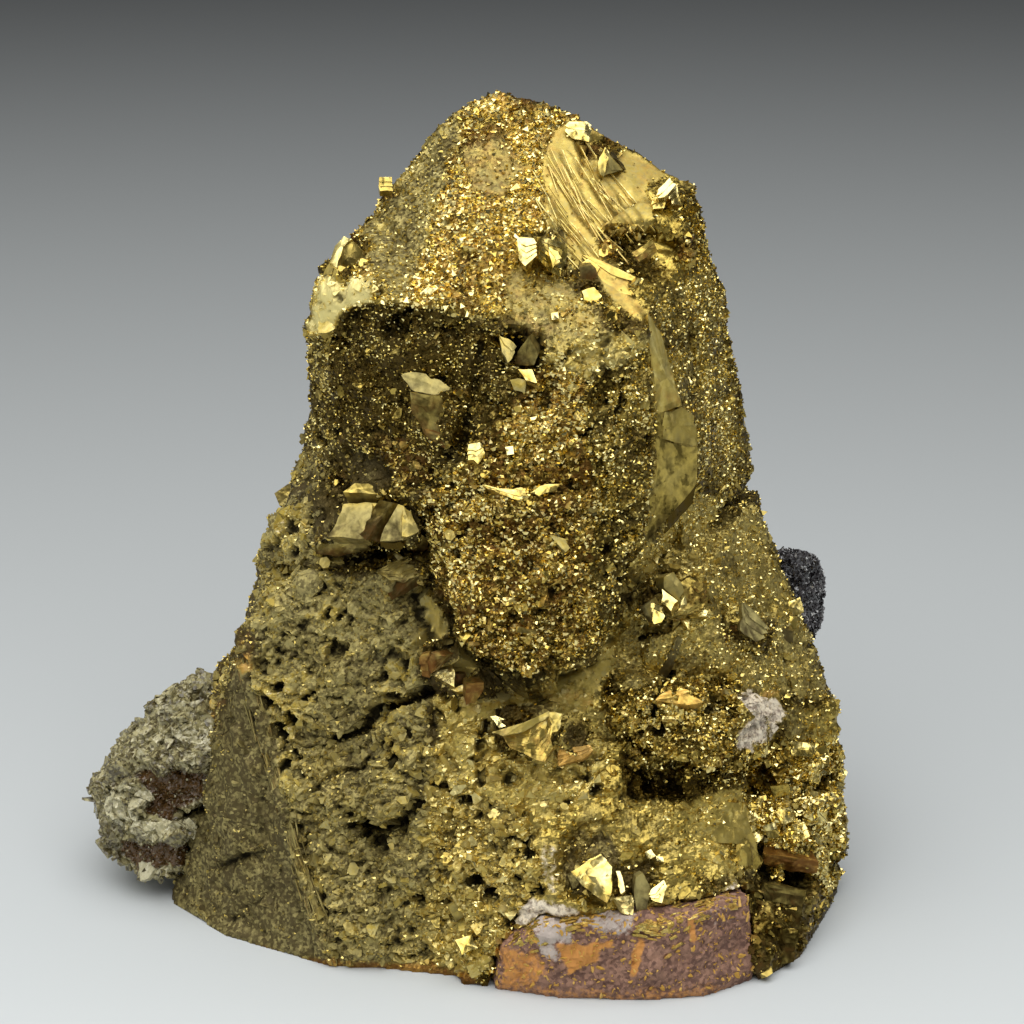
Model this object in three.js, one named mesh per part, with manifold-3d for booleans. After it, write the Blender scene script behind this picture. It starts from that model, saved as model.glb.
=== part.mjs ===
// Chalcopyrite specimen: brassy sphenoidal crystals grown together in one stepped cluster, with a
// dark sphalerite crystal let into the right flank, a sphalerite knot on the left and a strip of
// iron-stained matrix under the front. It stands on its broken base.
// Millimetres, +Z up. The origin is the middle of the base; the front faces -Y.
import * as THREE from "three";
import { ConvexGeometry } from "three/addons/geometries/ConvexGeometry.js";
import { mergeVertices } from "three/addons/utils/BufferGeometryUtils.js";
import Module from "manifold-3d";

const wasm = await Module();
wasm.setup();

// Driving dimensions
const WIDTH = 78; // across the flanks
const DEPTH = 55; // front edge to back
const HEIGHT = 80; // base to crown
const SEAT_GAP = 0.45; // reach of the clearance round a piece let into the cluster, about 0.3 mm square on
const BURIED = -6; // how deep the lowest corners lie under the base before it is cut flat
const WELD = 1e-4; // corners closer together than this are one corner
const FRONT = DEPTH / 2; // front edge of the matrix, in front of the origin
const BACK = DEPTH / 2; // back edge of the base, behind the origin
const LEFT = WIDTH / 2; // leftmost reach
const RIGHT = WIDTH / 2; // rightmost reach

// One crystal: the convex block that its corners span.
const block = (...corners) => corners.map(([x, y, z]) => new THREE.Vector3(x, y, z));

// The same block with every face moved outwards by about 0.3 mm, to cut the seat that it lies in.
function grown(corners) {
  const steps = [-SEAT_GAP, SEAT_GAP];
  return corners.flatMap((c) =>
    steps.flatMap((s) => [
      c.clone().add(new THREE.Vector3(s, 0, 0)),
      c.clone().add(new THREE.Vector3(0, s, 0)),
      c.clone().add(new THREE.Vector3(0, 0, s)),
    ]),
  );
}

// A small crystal standing on the cluster: four faces round a waist, a blunt tip and a buried foot.
// at is the middle of its waist, toward the way it points, wide and tall its size, turn its roll.
function perched(at, toward, wide, tall, turn) {
  const up = new THREE.Vector3(...toward).normalize();
  const roll = new THREE.Quaternion().setFromAxisAngle(up, THREE.MathUtils.degToRad(turn));
  const stand = new THREE.Quaternion().setFromUnitVectors(new THREE.Vector3(0, 0, 1), up);
  const [w, t] = [wide / 2, tall / 2];
  const shape = block(
    [w, 0.55 * w, 0.1 * t],
    [-0.8 * w, 0.7 * w, -0.1 * t],
    [-w, -0.5 * w, 0.15 * t],
    [0.7 * w, -0.8 * w, -0.1 * t],
    [0.45 * w, 0.1 * w, t],
    [-0.4 * w, -0.1 * w, 0.95 * t],
    [0.3 * w, 0.35 * w, -t],
    [-0.3 * w, -0.35 * w, -t],
  );
  return shape.map((p) => p.applyQuaternion(stand).applyQuaternion(roll).add(new THREE.Vector3(...at)));
}

// --- The cluster's large crystals -------------------------------------------------------------

// Head: the big upper crystal. Its top face slopes to the front, its lower tip overhangs as a chin.
const head = block(
  [2.5, 6, HEIGHT], [9, 6, 78.5], [15, 5, 74.6], [21.5, 3, 71.8], [6, 14, 76], [19, 13, 68],
  [-2, 5, 77.5], [-8.5, 2, 70], [-7, 13, 68],
  [1, -15.5, 64], [12, -17, 59], [16.5, -14.5, 61.5],
  [24, 0, 64], [26.2, 2, 53], [27.5, 4, 42], [21.5, -10.5, 49], [16, -17, 42.5],
  [8, -20.5, 42], [5, -21, 30], [0, -19.5, 33.5], [11, -19.5, 31], [-3, -15.5, 50],
  [22, 18, 44], [4, 22, 50], [-10, 12, 46], [2, 5, 26], [18, 2, 28],
);

// Left shoulder: the block beside the head whose dark front face lies under the pale brow.
const shoulder = block(
  [-14, -8, 63.5], [-11.5, -3, 68], [-7.5, -12.5, 65.5], [1, -15, 64], [-15.2, -5.5, 58],
  [-14.6, -5, 47], [-11, -9.5, 45], [-2, -14.5, 45], [-7, 6, 69], [-13.5, 8, 58],
  [-13, 9, 44], [4, 4, 44], [4, 4, 66],
);

// Right cheek: the narrow face that runs down the head's right edge to the flank.
const cheek = block(
  [21.5, 4, 71], [24.2, 1, 64], [26.6, 2, 53], [28.2, 4, 41], [27, 14, 40], [22, 15, 66],
  [20, -9, 50], [21, -9, 38], [12, 6, 60], [12, 6, 38],
);

// Nape: the crystal behind the head, with the two hind crystals and the heel stepped out below it.
const nape = block(
  [4, 13, 71], [14, 14, 67], [21, 16, 54], [24, 18, 42], [-7, 15, 60], [-12, 16, 44],
  [5, 20, 54], [6, 23.5, 36], [-14, 20, 30], [24, 21, 28], [0, 4, 60], [18, 4, 56],
  [0, 0, 28], [20, 0, 28],
);
const hindLeft = block(
  [-13, 9, 51], [-16.5, 15, 45], [-9, 20, 47], [-20, 13, 33], [-22, 20, 22], [-25, 15, 12],
  [-27.5, 11, BURIED], [-24, 22, BURIED], [-12, 25, 24], [-12, BACK, BURIED], [-3, 21, 38],
  [-2, 24, BURIED], [-6, 4, 42], [-10, 4, BURIED],
);
const hindRight = block(
  [15, 19, 46], [24, 18, 43], [29.5, 15, 36], [33, 16, 24], [35.5, 16, 11], [36, 18, BURIED],
  [26, 23, 27], [28, 25, BURIED], [14, 23.5, 36], [14, 26, BURIED], [18, 4, 42],
  [20, 4, BURIED],
);
const heel = block(
  [0, 22, 31], [8, 24, 33], [15, 23, 27], [18.5, 25.5, 13], [18, BACK, BURIED],
  [2, BACK, 17], [-2, BACK, BURIED], [-5, 24, 18], [4, 8, 30], [4, 8, BURIED], [14, 8, 28],
);

// Neck: the mass under the head, with the hollow face that runs round below the chin.
const neck = block(
  [-14, -5, 46], [-2.5, -13, 36], [-3, -14.5, 31], [7, -15, 26], [15, -13, 30], [22, -9, 38],
  [28.5, 3, 39], [30, 14, 36], [-16, 10, 42], [-17, 14, 30], [33, 12, 20], [-22, 8, 20],
  [0, -17.5, 20], [14, -17, 20], [24, -13, 22], [-16, -9, 20], [0, -16, 4], [20, -14, 4],
  [-18, -6, 4], [30, 0, 4],
);

// Root mass: the ore that the crystals have grown together into, down to the broken base.
const rootMass = block(
  [-26, -6, BURIED], [-25, 12, BURIED], [-14, 23, BURIED], [10, 25, BURIED], [28, 21, BURIED],
  [36, 8, BURIED], [34, -8, BURIED], [24, -18, BURIED], [-14, -17, BURIED], [-20, -4, 19],
  [-17, 12, 24], [6, 20, 26], [28, 12, 24], [30, -2, 19], [16, -12, 19], [-8, -12, 19],
);

// --- The left side ------------------------------------------------------------------------------

// Ridge block: a slab with a pitted upper face and one sharp striated edge running to the base.
const ridge = block(
  [-22.4, -9.4, 26.2], [-13.5, -21.2, 0.5], [-12.5, -23.4, BURIED], [-19.4, -8, 32.4],
  [-15.5, -6, 37], [-6.5, -11, 34.5], [-4, -13.6, 26], [-1.5, -18, 14], [-1, -24, BURIED],
  [-24.5, -17.2, BURIED], [-25.5, -3, 23.5], [-32, -9.4, BURIED], [-23, 10, 18],
  [-28, 8, BURIED], [-8, 4, 36], [-2, 2, BURIED],
);

// Step: the lower ledge at the foot of the ridge block's right edge.
const step = block(
  [-4.2, -14.6, 26.4], [-8.6, -15.8, 21.5], [-1, -17.6, 21], [2.5, -21, 11], [-5.5, -20.6, 10],
  [-7, -23.2, BURIED], [3, -25, BURIED], [0, -8, 26], [4, -8, BURIED], [-10, -8, 20],
);

// Lumps: three rounded crystals stacked behind the ridge up to the shoulder.
const upperLump = block(
  [-17.2, -1, 40], [-19.5, -3, 37], [-20.5, -1, 34.5], [-17, -7, 37], [-13, -9, 40],
  [-12, -7, 44.5], [-15.5, 4, 43], [-19.5, 8, 36], [-10, 6, 44], [-8, -8, 34], [-18, 6, 28],
);
const lowerLump = block(
  [-20.6, -3, 33], [-22.5, -2, 29], [-23, 4, 27], [-18, -7.5, 33], [-15, -9, 35],
  [-21, 9, 33], [-12, 8, 38], [-22, -5, 24], [-12, -8, 22], [-20, 12, 20],
);

// --- The front ----------------------------------------------------------------------------------

// Skirt: the steep front below the chin, rough and stepped, down to the matrix.
const skirt = block(
  [-1, -17.5, 23], [7, -17.8, 23], [14, -17, 22], [13, -22.5, 14], [4, -22.5, 12],
  [20, -21, 12], [9, -25.5, 8], [0, -24.5, 4], [21, -24.5, 8], [26, -22, 9],
  [-1, -25, BURIED], [9, -26.4, BURIED], [22, -26.2, BURIED], [30, -23, BURIED],
  [28, -17, 12], [26, -5, 20], [0, -5, 24], [30, -5, BURIED], [0, -5, BURIED],
);

// --- The right side -----------------------------------------------------------------------------

// Flank: the sloping right mass below the cheek.
const flank = block(
  [28.4, 2.5, 40], [30.8, 3, 34.6], [33.4, 0.5, 26.5], [36.6, -2.5, 20], [30, 14, 33],
  [34.5, 14, 20], [36.8, 14, BURIED], [RIGHT - 1, 0, 6], [22, -11, 36], [25, -13, 28],
  [17, -14, 30], [32, -10, 19], [20, -13, 18], [16, 4, 30], [16, 4, BURIED], [34, -8, 8],
);

// Brow of the flank: a drusy lump that hangs over the dark step below it.
const overhang = block(
  [15, -15.5, 28], [19.3, -17.5, 27], [25, -16.5, 26], [29, -13.5, 24.5], [29.5, -13, 19.5],
  [25.2, -17.8, 19.2], [18.5, -18.5, 22], [14.5, -17, 24], [28, -6, 26], [16, -6, 28],
  [16, -6, 20], [29, -6, 18],
);

// Cube-like crystals stacked down the right edge.
const upperCube = block(
  [31, -9, 20.5], [36.9, -4, 19.8], [37.2, -5, 13.2], [31.5, -12.5, 13], [29, -12, 18.5],
  [35.5, 6, 20], [36.5, 6, 12], [27, 0, 18], [27, 0, 12],
);
const goldCube = block(
  [28.5, -15.5, 12.8], [33, -14.5, 13.6], [37.5, -7.5, 12], [38.3, -7, 4.5], [33.5, -15.5, 3.2],
  [29, -17.5, 4], [38, 6, 11], [RIGHT, 5, 3], [27, -2, 13], [27, -2, 3],
);
const footBlock = block(
  [21, -18.5, 18.8], [26.5, -16.5, 18], [28.8, -15.5, 12], [28.6, -18.6, 7], [22.5, -21.5, 9],
  [19.5, -20.5, 15], [18, -8, 19], [27, -8, 18], [18, -8, 5], [28, -8, 5],
);
const cornerBlock = block(
  [28, -19.5, 6], [33.5, -16.5, 5.5], [37.8, -7, 2.5], [RIGHT, 1, BURIED], [38, -6.6, BURIED],
  [33.8, -18, BURIED], [31.6, -22.8, BURIED], [27, -24, 3.5], [27, -24.6, BURIED],
  [26, 0, 6], [38, 8, 3], [38, 10, BURIED], [26, 0, BURIED],
);

// --- Crystals perched on the surface ------------------------------------------------------------

const perchedCrystals = [
  perched([-7.6, 1, 71], [-0.3, -0.2, 1], 2.4, 4, 20), // capped crystal on the left outline
  perched([-11.8, -4, 66.4], [-0.3, -0.3, 1], 4.4, 5.4, 60), // dark point on the shoulder
  perched([7.3, -9.3, 68.6], [0.1, -0.8, 1], 4.6, 4.6, 15), // twin beside the brow
  perched([19.2, -0.5, 72], [0.2, -0.6, 1], 4.4, 5, 40), // bright group at the right edge
  perched([13.4, 2.5, 75], [0, -0.5, 1], 3.4, 4.4, 75), // triangular crystal near the crown
  perched([17.5, -6, 66.5], [0.2, -0.5, 1], 5, 4.6, 10), // shard in the hollow of the top face
  perched([-11.4, -10.5, 43.2], [-0.5, -1, 0.5], 8.5, 5, 0), // fan on the left ledge
  perched([-6.6, -13, 42.2], [0, -1, 0.4], 5, 5, 30), // its neighbour
  perched([-7.4, -13.2, 37.6], [-0.2, -1, 0.4], 5.4, 4.6, 70), // third crystal below them
  perched([-2.4, -16.6, 31.2], [0, -1, 0.6], 4, 5, 25), // pale triangle beside the chin
  perched([1.6, -17.2, 28.4], [0.2, -1, 0.5], 3.6, 4.6, 50), // brown crystal beside it
  perched([5.6, -18.6, 24.6], [-0.2, -0.9, 0.8], 6.6, 5, 5), // striated crystal below the chin
  perched([10.4, -18.6, 23.6], [0.3, -0.9, 0.7], 4, 4, 80), // leaf beside it
  perched([20.6, -13.6, 35.6], [0.2, -1, 0.7], 4.8, 5, 35), // bright fan on the flank
  perched([17.6, -14.4, 35.2], [-0.2, -1, 0.6], 3.8, 4.6, 65), // its neighbour
  perched([27.6, -9.4, 30.2], [0.5, -0.7, 0.6], 5, 4.6, 15), // plate on the flank
  perched([12.4, -23.2, 12.4], [-0.1, -1, 0.5], 5.4, 5, 45), // broad facet above the matrix
  perched([15.4, -23.4, 11.2], [0.3, -1, 0.3], 3.8, 5, 10), // dark crystal beside it
  perched([-5, 17.5, 56], [-0.4, 1, 0.5], 8, 8, 20), // crystals on the back
  perched([9, 21.5, 44], [0.1, 1, 0.4], 9, 8, 65),
  perched([22.5, 21, 35], [0.6, 1, 0.2], 8, 8, 35),
  perched([-17, 20, 32], [-0.6, 1, 0.3], 9, 9, 10),
  perched([5, BACK - 2.8, 20], [0, 1, 0.2], 9, 5, 50),
];

// --- The other minerals -------------------------------------------------------------------------

// Sphalerite crystal: dark, blocky, half buried in the right flank.
const sphalerite = block(
  [32.6, 3, 33.6], [35.6, 4, 32.6], [36.8, 6, 29.6], [36.6, 5, 25.4], [35.4, 3, 23.8],
  [34.6, 10, 31.2], [36.2, 11, 26], [30, 3.5, 32.5], [29, 10, 31.5], [30, 3.5, 25], [29, 10, 25],
);

// Sphalerite knot: two blocks on the left side, with a ledge between them.
const knotUpper = block(
  [-36.2, -3.5, 15.2], [-29.2, -4, 21.4], [-25.8, -2, 22.4], [-34.5, -7.5, 12.5],
  [-27.5, -8.5, 16.6], [-26, -9.5, 11], [-31, -8.8, 9.5], [-38.2, -4, 10.8], [-34.5, 6, 11],
  [-28, 8, 15.6], [-22, 2, 19.6], [-22, -4, 12], [-24, 8, 8], [-34.5, 6.5, 8],
);
const knotLower = block(
  [-38.6, -4.5, 11], [-LEFT, -3, 9.5], [-37.2, -6.5, 5], [-33, -8.8, 2.6], [-29.5, -9.5, 4],
  [-29.5, -9.8, 9.5], [-34, -8.6, 10.8], [-38, 4, 5], [-34, 8, 2], [-26, 2, 2.5], [-26, 2, 12],
  [-36, 6, 12],
);

// Matrix: the iron-stained stone under the front, reaching back below the cluster.
const matrix = block(
  [1.5, -25.2, BURIED], [9, -FRONT + 0.4, 0.5], [17, -FRONT, 0.5], [22.5, -26.8, 0.5],
  [9, -FRONT + 0.8, BURIED], [17, -FRONT + 0.5, BURIED], [22.5, -26.4, BURIED],
  [28, -24.6, BURIED], [3.5, -25.6, 4.5], [8, -26.4, 7.6], [16, -26.6, 7], [21.5, -25.8, 8],
  [26.5, -22.8, 8.6], [4, -18, 6.5], [25, -16, 7.5], [14, 3, 3], [-1, -9, BURIED],
  [4, 3, BURIED], [14, 8, BURIED], [22, 2, BURIED], [27, -9, BURIED],
);

// --- Joining and cutting ------------------------------------------------------------------------

// A solid from a closed three.js geometry.
function solidOf(geometry) {
  const bare = geometry.clone();
  bare.deleteAttribute("normal");
  bare.deleteAttribute("uv");
  const merged = mergeVertices(bare, WELD);
  const vertProperties = new Float32Array(merged.attributes.position.array);
  const triVerts = new Uint32Array(merged.index.array);
  return new wasm.Manifold(new wasm.Mesh({ numProp: 3, vertProperties, triVerts }));
}

const hull = (corners) => solidOf(new ConvexGeometry(corners));
const join = (solids) => solids.reduce((all, next) => all.add(next));

// Everything below the base: a wide slab whose top is the plane that the specimen stands on.
const slab = new THREE.BoxGeometry(2 * WIDTH, 2 * DEPTH, HEIGHT).translate(0, 0, -HEIGHT / 2);
const ground = solidOf(slab);

// The body that a solid is mostly made of, without slivers that a cut leaves loose.
function largest(solid) {
  const bodies = solid.decompose();
  return bodies.reduce((a, b) => (a.volume() > b.volume() ? a : b));
}

function meshOf(name, solid, color, roughness, metalness) {
  const { numProp, vertProperties, triVerts } = largest(solid).getMesh();
  const position = new Float32Array((vertProperties.length / numProp) * 3);
  for (let i = 0; i < position.length / 3; i += 1) {
    position.set(vertProperties.subarray(i * numProp, i * numProp + 3), i * 3);
  }
  const geometry = new THREE.BufferGeometry();
  geometry.setAttribute("position", new THREE.BufferAttribute(position, 3));
  geometry.setIndex(new THREE.BufferAttribute(triVerts, 1));
  const material = new THREE.MeshStandardMaterial({ color, roughness, metalness, flatShading: true });
  const mesh = new THREE.Mesh(geometry, material);
  mesh.name = name;
  return mesh;
}

const crystals = [
  head, shoulder, cheek, nape, hindLeft, hindRight, heel, neck, rootMass, ridge, step, upperLump,
  lowerLump, skirt, flank, overhang, upperCube, goldCube, footBlock, cornerBlock, ...perchedCrystals,
];
const seats = join([sphalerite, knotUpper, knotLower, matrix].map((corners) => hull(grown(corners))));
const cluster = join(crystals.map(hull)).subtract(seats).subtract(ground);
const knot = hull(knotUpper).add(hull(knotLower));

const specimen = new THREE.Group();
specimen.name = "chalcopyrite";
specimen.add(
  meshOf("chalcopyrite_cluster", cluster, 0x8f7a35, 0.4, 0.9),
  meshOf("sphalerite_crystal", hull(sphalerite), 0x3a3638, 0.35, 0.3),
  meshOf("sphalerite_knot", knot, 0x6b5a3c, 0.45, 0.3),
  meshOf("iron_stained_matrix", hull(matrix).subtract(ground), 0x7a5f60, 0.85, 0),
);

export default specimen;
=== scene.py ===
# %% [markdown]
# # A chalcopyrite specimen
# Chalcopyrite is a brassy ore of copper and iron. This specimen is one tall, blocky crystal on a stepped
# cluster of smaller ones, and nearly every face has a druse: a coat of crystals finer than sand.
# The script loads the measured solids of the specimen, gives them the relief of broken and grown crystal
# faces, sets the larger crystals one by one, and then sows the druse.

# %% Loading the frame
import math

import bmesh
import bpy
import numpy as np
from mathutils import Matrix, Vector
from mathutils.bvhtree import BVHTree


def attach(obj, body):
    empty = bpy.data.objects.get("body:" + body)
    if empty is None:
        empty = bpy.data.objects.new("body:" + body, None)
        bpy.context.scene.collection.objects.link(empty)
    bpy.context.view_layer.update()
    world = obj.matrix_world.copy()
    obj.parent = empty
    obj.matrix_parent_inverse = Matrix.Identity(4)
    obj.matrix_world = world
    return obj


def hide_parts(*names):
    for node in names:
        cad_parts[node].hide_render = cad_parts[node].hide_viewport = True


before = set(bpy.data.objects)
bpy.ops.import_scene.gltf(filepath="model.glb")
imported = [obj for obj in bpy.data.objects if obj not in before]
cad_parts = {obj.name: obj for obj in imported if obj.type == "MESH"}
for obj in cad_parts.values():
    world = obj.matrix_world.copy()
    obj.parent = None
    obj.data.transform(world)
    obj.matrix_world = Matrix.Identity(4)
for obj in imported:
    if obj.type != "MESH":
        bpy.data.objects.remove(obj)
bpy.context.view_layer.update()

MM = 0.001  # the frame is in metres, and the modelling below is in millimetres
ROOT_BODY = "root"

# %% [markdown]
# ## The point of view
# Crystals are set by their places in the picture: "the bright twin sits here in the picture". So the camera
# comes first. A line from the eye through a place in the picture, followed until it meets the stone, gives
# the spot on the stone.

# %% The camera
PICTURE = 1024  # the picture is square, this many pixels a side
LENS, SENSOR = 80.0, 36.0  # millimetres
EYE_DISTANCE = 227.6  # from the eye to the point that it looks at, in millimetres
EYE_HEIGHT_ANGLE = math.radians(20)
LOOK_AT = np.array([4.3, 0.0, 39.2])
TO_EYE = np.array([0.0, -math.cos(EYE_HEIGHT_ANGLE), math.sin(EYE_HEIGHT_ANGLE)])
EYE = LOOK_AT + EYE_DISTANCE * TO_EYE
RIGHTWARD = np.array([1.0, 0.0, 0.0])
UPWARD = np.cross(RIGHTWARD, -TO_EYE)
PIXELS_PER_SLOPE = PICTURE * LENS / SENSOR


def picture_ray(u, v):
    """The direction from the eye through pixel (u, v), counted from the picture's top left corner."""
    slope_x, slope_y = (u - PICTURE / 2) / PIXELS_PER_SLOPE, (PICTURE / 2 - v) / PIXELS_PER_SLOPE
    ray = -TO_EYE + slope_x * RIGHTWARD + slope_y * UPWARD
    return ray / np.linalg.norm(ray)


def picture_place(points):
    """The pixel of each point, as an array of (u, v)."""
    d = points - EYE
    depth = d @ -TO_EYE
    u = PICTURE / 2 + PIXELS_PER_SLOPE * (d @ RIGHTWARD) / depth
    v = PICTURE / 2 - PIXELS_PER_SLOPE * (d @ UPWARD) / depth
    return np.stack([u, v], 1)


def placed(name, data):
    """A new object that shows the data, linked to the scene."""
    made = bpy.data.objects.new(name, data)
    bpy.context.scene.collection.objects.link(made)
    return made


eye = bpy.data.cameras.new("eye")
eye.lens, eye.sensor_width = LENS, SENSOR
eye_object = placed("eye", eye)
eye_object.location = Vector(EYE * MM)
eye_object.rotation_euler = Vector(-TO_EYE).to_track_quat("-Z", "Y").to_euler()
bpy.context.scene.camera = eye_object
print("eye at", EYE.round(1), "mm")

# %% [markdown]
# ## Noise to carve with
# A crystal face isn't random, but where it is pitted, stepped or stained is. Two kinds of noise do the
# work: a soft one for stains, swells and pits, and one made of small upright sphenoids, the four-faced
# crystal of chalcopyrite. They are all turned the same way, because crystals that grow on a crystal take
# its direction.

# %% Noise
HASH_X, HASH_Y, HASH_Z, HASH_SEED = 73856093, 19349663, 83492791, 39916801
MIX_FIRST, MIX_SECOND, MIX_BITS, DICE_BITS = 1274126177, 668265263, 0x7FFFFFFF, 0xFFFFFF
LAYER_SHIFT = 17.3  # moves each finer layer of noise off the grid of the one before
NOISE_GAIN = 1.6  # stretches the mean of the layers to about -1 to 1
FLIP_ABOVE = 0.7  # the share of sphenoids that point up rather than down


def dice(cells, seed):
    """An even random number from 0 to 1 for each whole-numbered cell."""
    h = cells[:, 0] * HASH_X ^ cells[:, 1] * HASH_Y ^ cells[:, 2] * HASH_Z ^ np.int64(seed * HASH_SEED)
    h = (h ^ (h >> 13)) * MIX_FIRST & MIX_BITS
    h = (h ^ (h >> 16)) * MIX_SECOND & MIX_BITS
    return ((h ^ (h >> 15)) & DICE_BITS) / DICE_BITS


def soft_noise(points, size, seed, layers=3):
    """Smooth noise from -1 to 1 whose widest swells are about size across, with finer layers on it."""
    total, strength, weight = 0.0, 1.0, 0.0
    for layer in range(layers):
        q = points / (size / 2**layer) + LAYER_SHIFT * layer
        low = np.floor(q).astype(np.int64)
        t = q - low
        t = t * t * (3 - 2 * t)
        value = 0.0
        for corner in np.ndindex(2, 2, 2):
            share = np.prod(np.where(corner, t, 1 - t), 1)
            value = value + share * dice(low + corner, seed + layer)
        total = total + strength * (2 * value - 1)
        weight += strength
        strength *= 0.5
    return total / weight * NOISE_GAIN


NEIGHBOURS = [np.array(c) - 1 for c in np.ndindex(3, 3, 3)]
SPHENOID = np.array([[1, 1, 1.2], [1, -1, -1.2], [-1, 1, -1.2], [-1, -1, 1.2]]) / math.sqrt(3.44)
FULLNESS = 0.42  # reach of a sphenoid in the crowd, as a share of its cell
RISER = 0.75  # share of a step's width after which the next step rises


def sphenoid_noise(points, size, seed, turn):
    """Height of a crowd of parallel sphenoids over each point, in millimetres; turn is their rotation."""
    faces = SPHENOID @ np.array(turn).T
    home = np.floor(points / size).astype(np.int64)
    height = np.full(len(points), -size)
    for step in NEIGHBOURS:
        cell = home + step
        jitter = np.stack([dice(cell, seed + k) for k in (1, 2, 3)], 1)
        d = points - (cell + jitter) * size
        reach = size * FULLNESS * (0.5 + dice(cell, seed + 5))
        flip = np.where(dice(cell, seed + 6) > FLIP_ABOVE, -1.0, 1.0)
        height = np.maximum(height, reach - (flip[:, None] * (d @ faces.T)).max(1))
    return height


def turned(x, y, z):
    """A rotation matrix from three turns in degrees."""
    about_z, about_y, about_x = (Matrix.Rotation(math.radians(angle), 3, axis)
                                 for angle, axis in ((z, "Z"), (y, "Y"), (x, "X")))
    return np.array(about_z @ about_y @ about_x)


def ramp(values, low, high):
    """0 below low, 1 above high and smooth between."""
    t = np.clip((values - low) / (high - low), 0, 1)
    return t * t * (3 - 2 * t)


def terraces(values):
    """A smooth slope turned into flat steps."""
    floor = np.floor(values)
    return floor + ramp(values - floor, RISER, 1.0)


print("noise ready")

# %% [markdown]
# ## The ore as one rough shape
# The solid of the cluster has the right blocks at the right places, with ideal flat faces. Real faces are
# swollen, stepped and pitted. A voxel remesh turns the joined blocks into one even skin of small squares,
# fine enough to be carved, and it also closes the hair-thin seams between the blocks.

# %% Voxel skin
SKIN_GRID = 0.28  # millimetres between the skin's vertices


def merged_copy(node):
    """A bmesh copy of a solid, in millimetres, with its loose triangles joined."""
    shape = bmesh.new()
    shape.from_mesh(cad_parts[node].data)
    bmesh.ops.scale(shape, vec=(1 / MM,) * 3, verts=shape.verts)
    bmesh.ops.remove_doubles(shape, verts=shape.verts, dist=0.002)
    return shape


def as_mesh(shape, name):
    mesh = bpy.data.meshes.new(name)
    shape.to_mesh(mesh)
    shape.free()
    return mesh


def voxel_skin(mesh, grid, name):
    """The outside of a mesh as an even grid of small squares."""
    holder = placed(name, mesh)
    remesh = holder.modifiers.new("skin", "REMESH")
    remesh.mode, remesh.voxel_size = "VOXEL", grid
    ready = holder.evaluated_get(bpy.context.evaluated_depsgraph_get())
    skin = bpy.data.meshes.new_from_object(ready)
    bpy.data.objects.remove(holder)
    bpy.data.meshes.remove(mesh)  # or the skin couldn't have its name
    skin.name = name
    return skin


def read(items, name, width):
    """Numbers of a mesh's vertices, edges or loops as an array."""
    found = np.empty(len(items) * width, np.float32 if width == 3 else np.int32)
    items.foreach_get(name, found)
    return found.reshape(-1, width).astype(float if width == 3 else int)


def set_points(mesh, points):
    mesh.vertices.foreach_set("co", points.astype(np.float32).ravel())
    mesh.update()


def blurred(values, edges, rounds):
    """Each vertex takes the mean of itself and its neighbours, as often as rounds says."""
    flat = values.reshape(len(values), -1).astype(float)
    a, b = edges[:, 0], edges[:, 1]
    count = 1 + np.bincount(a, minlength=len(flat)) + np.bincount(b, minlength=len(flat))
    for _ in range(rounds):
        for k in range(flat.shape[1]):
            column = flat[:, k]
            near = np.bincount(a, column[b], len(flat)) + np.bincount(b, column[a], len(flat))
            flat[:, k] = (column + near) / count
    return flat.reshape(values.shape)


def soft_normals(mesh, edges):
    """The way that each vertex faces, evened out over its neighbours."""
    normals = blurred(read(mesh.vertex_normals, "vector", 3), edges, 4)
    return normals / np.maximum(np.linalg.norm(normals, axis=1)[:, None], 1e-9)


def ray_tree(mesh, points):
    """A search tree that tells where a ray meets a skin."""
    return BVHTree.FromPolygons([Vector(p) for p in points], [tuple(p.vertices) for p in mesh.polygons])


ore_mesh = voxel_skin(as_mesh(merged_copy("chalcopyrite_cluster"), "ore"), SKIN_GRID, "ore")
ore_points = read(ore_mesh.vertices, "co", 3)
ore_edges = read(ore_mesh.edges, "vertices", 2)
ore_tree = ray_tree(ore_mesh, ore_points)


def spot(u, v, tree=ore_tree):
    """The place on a bare solid under pixel (u, v) and the way that it faces, in millimetres."""
    place, normal, _, _ = tree.ray_cast(Vector(EYE), Vector(picture_ray(u, v)))
    return np.array(place), np.array(normal)


print("ore skin:", len(ore_points), "vertices")

# %% [markdown]
# ## Room for the larger crystals
# The solids have a plain block at the place of each larger crystal. The voxel skin rounds such a small block
# into a lump, so the lumps are pressed flat here, and crisp crystals are set at the same places further on.

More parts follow.
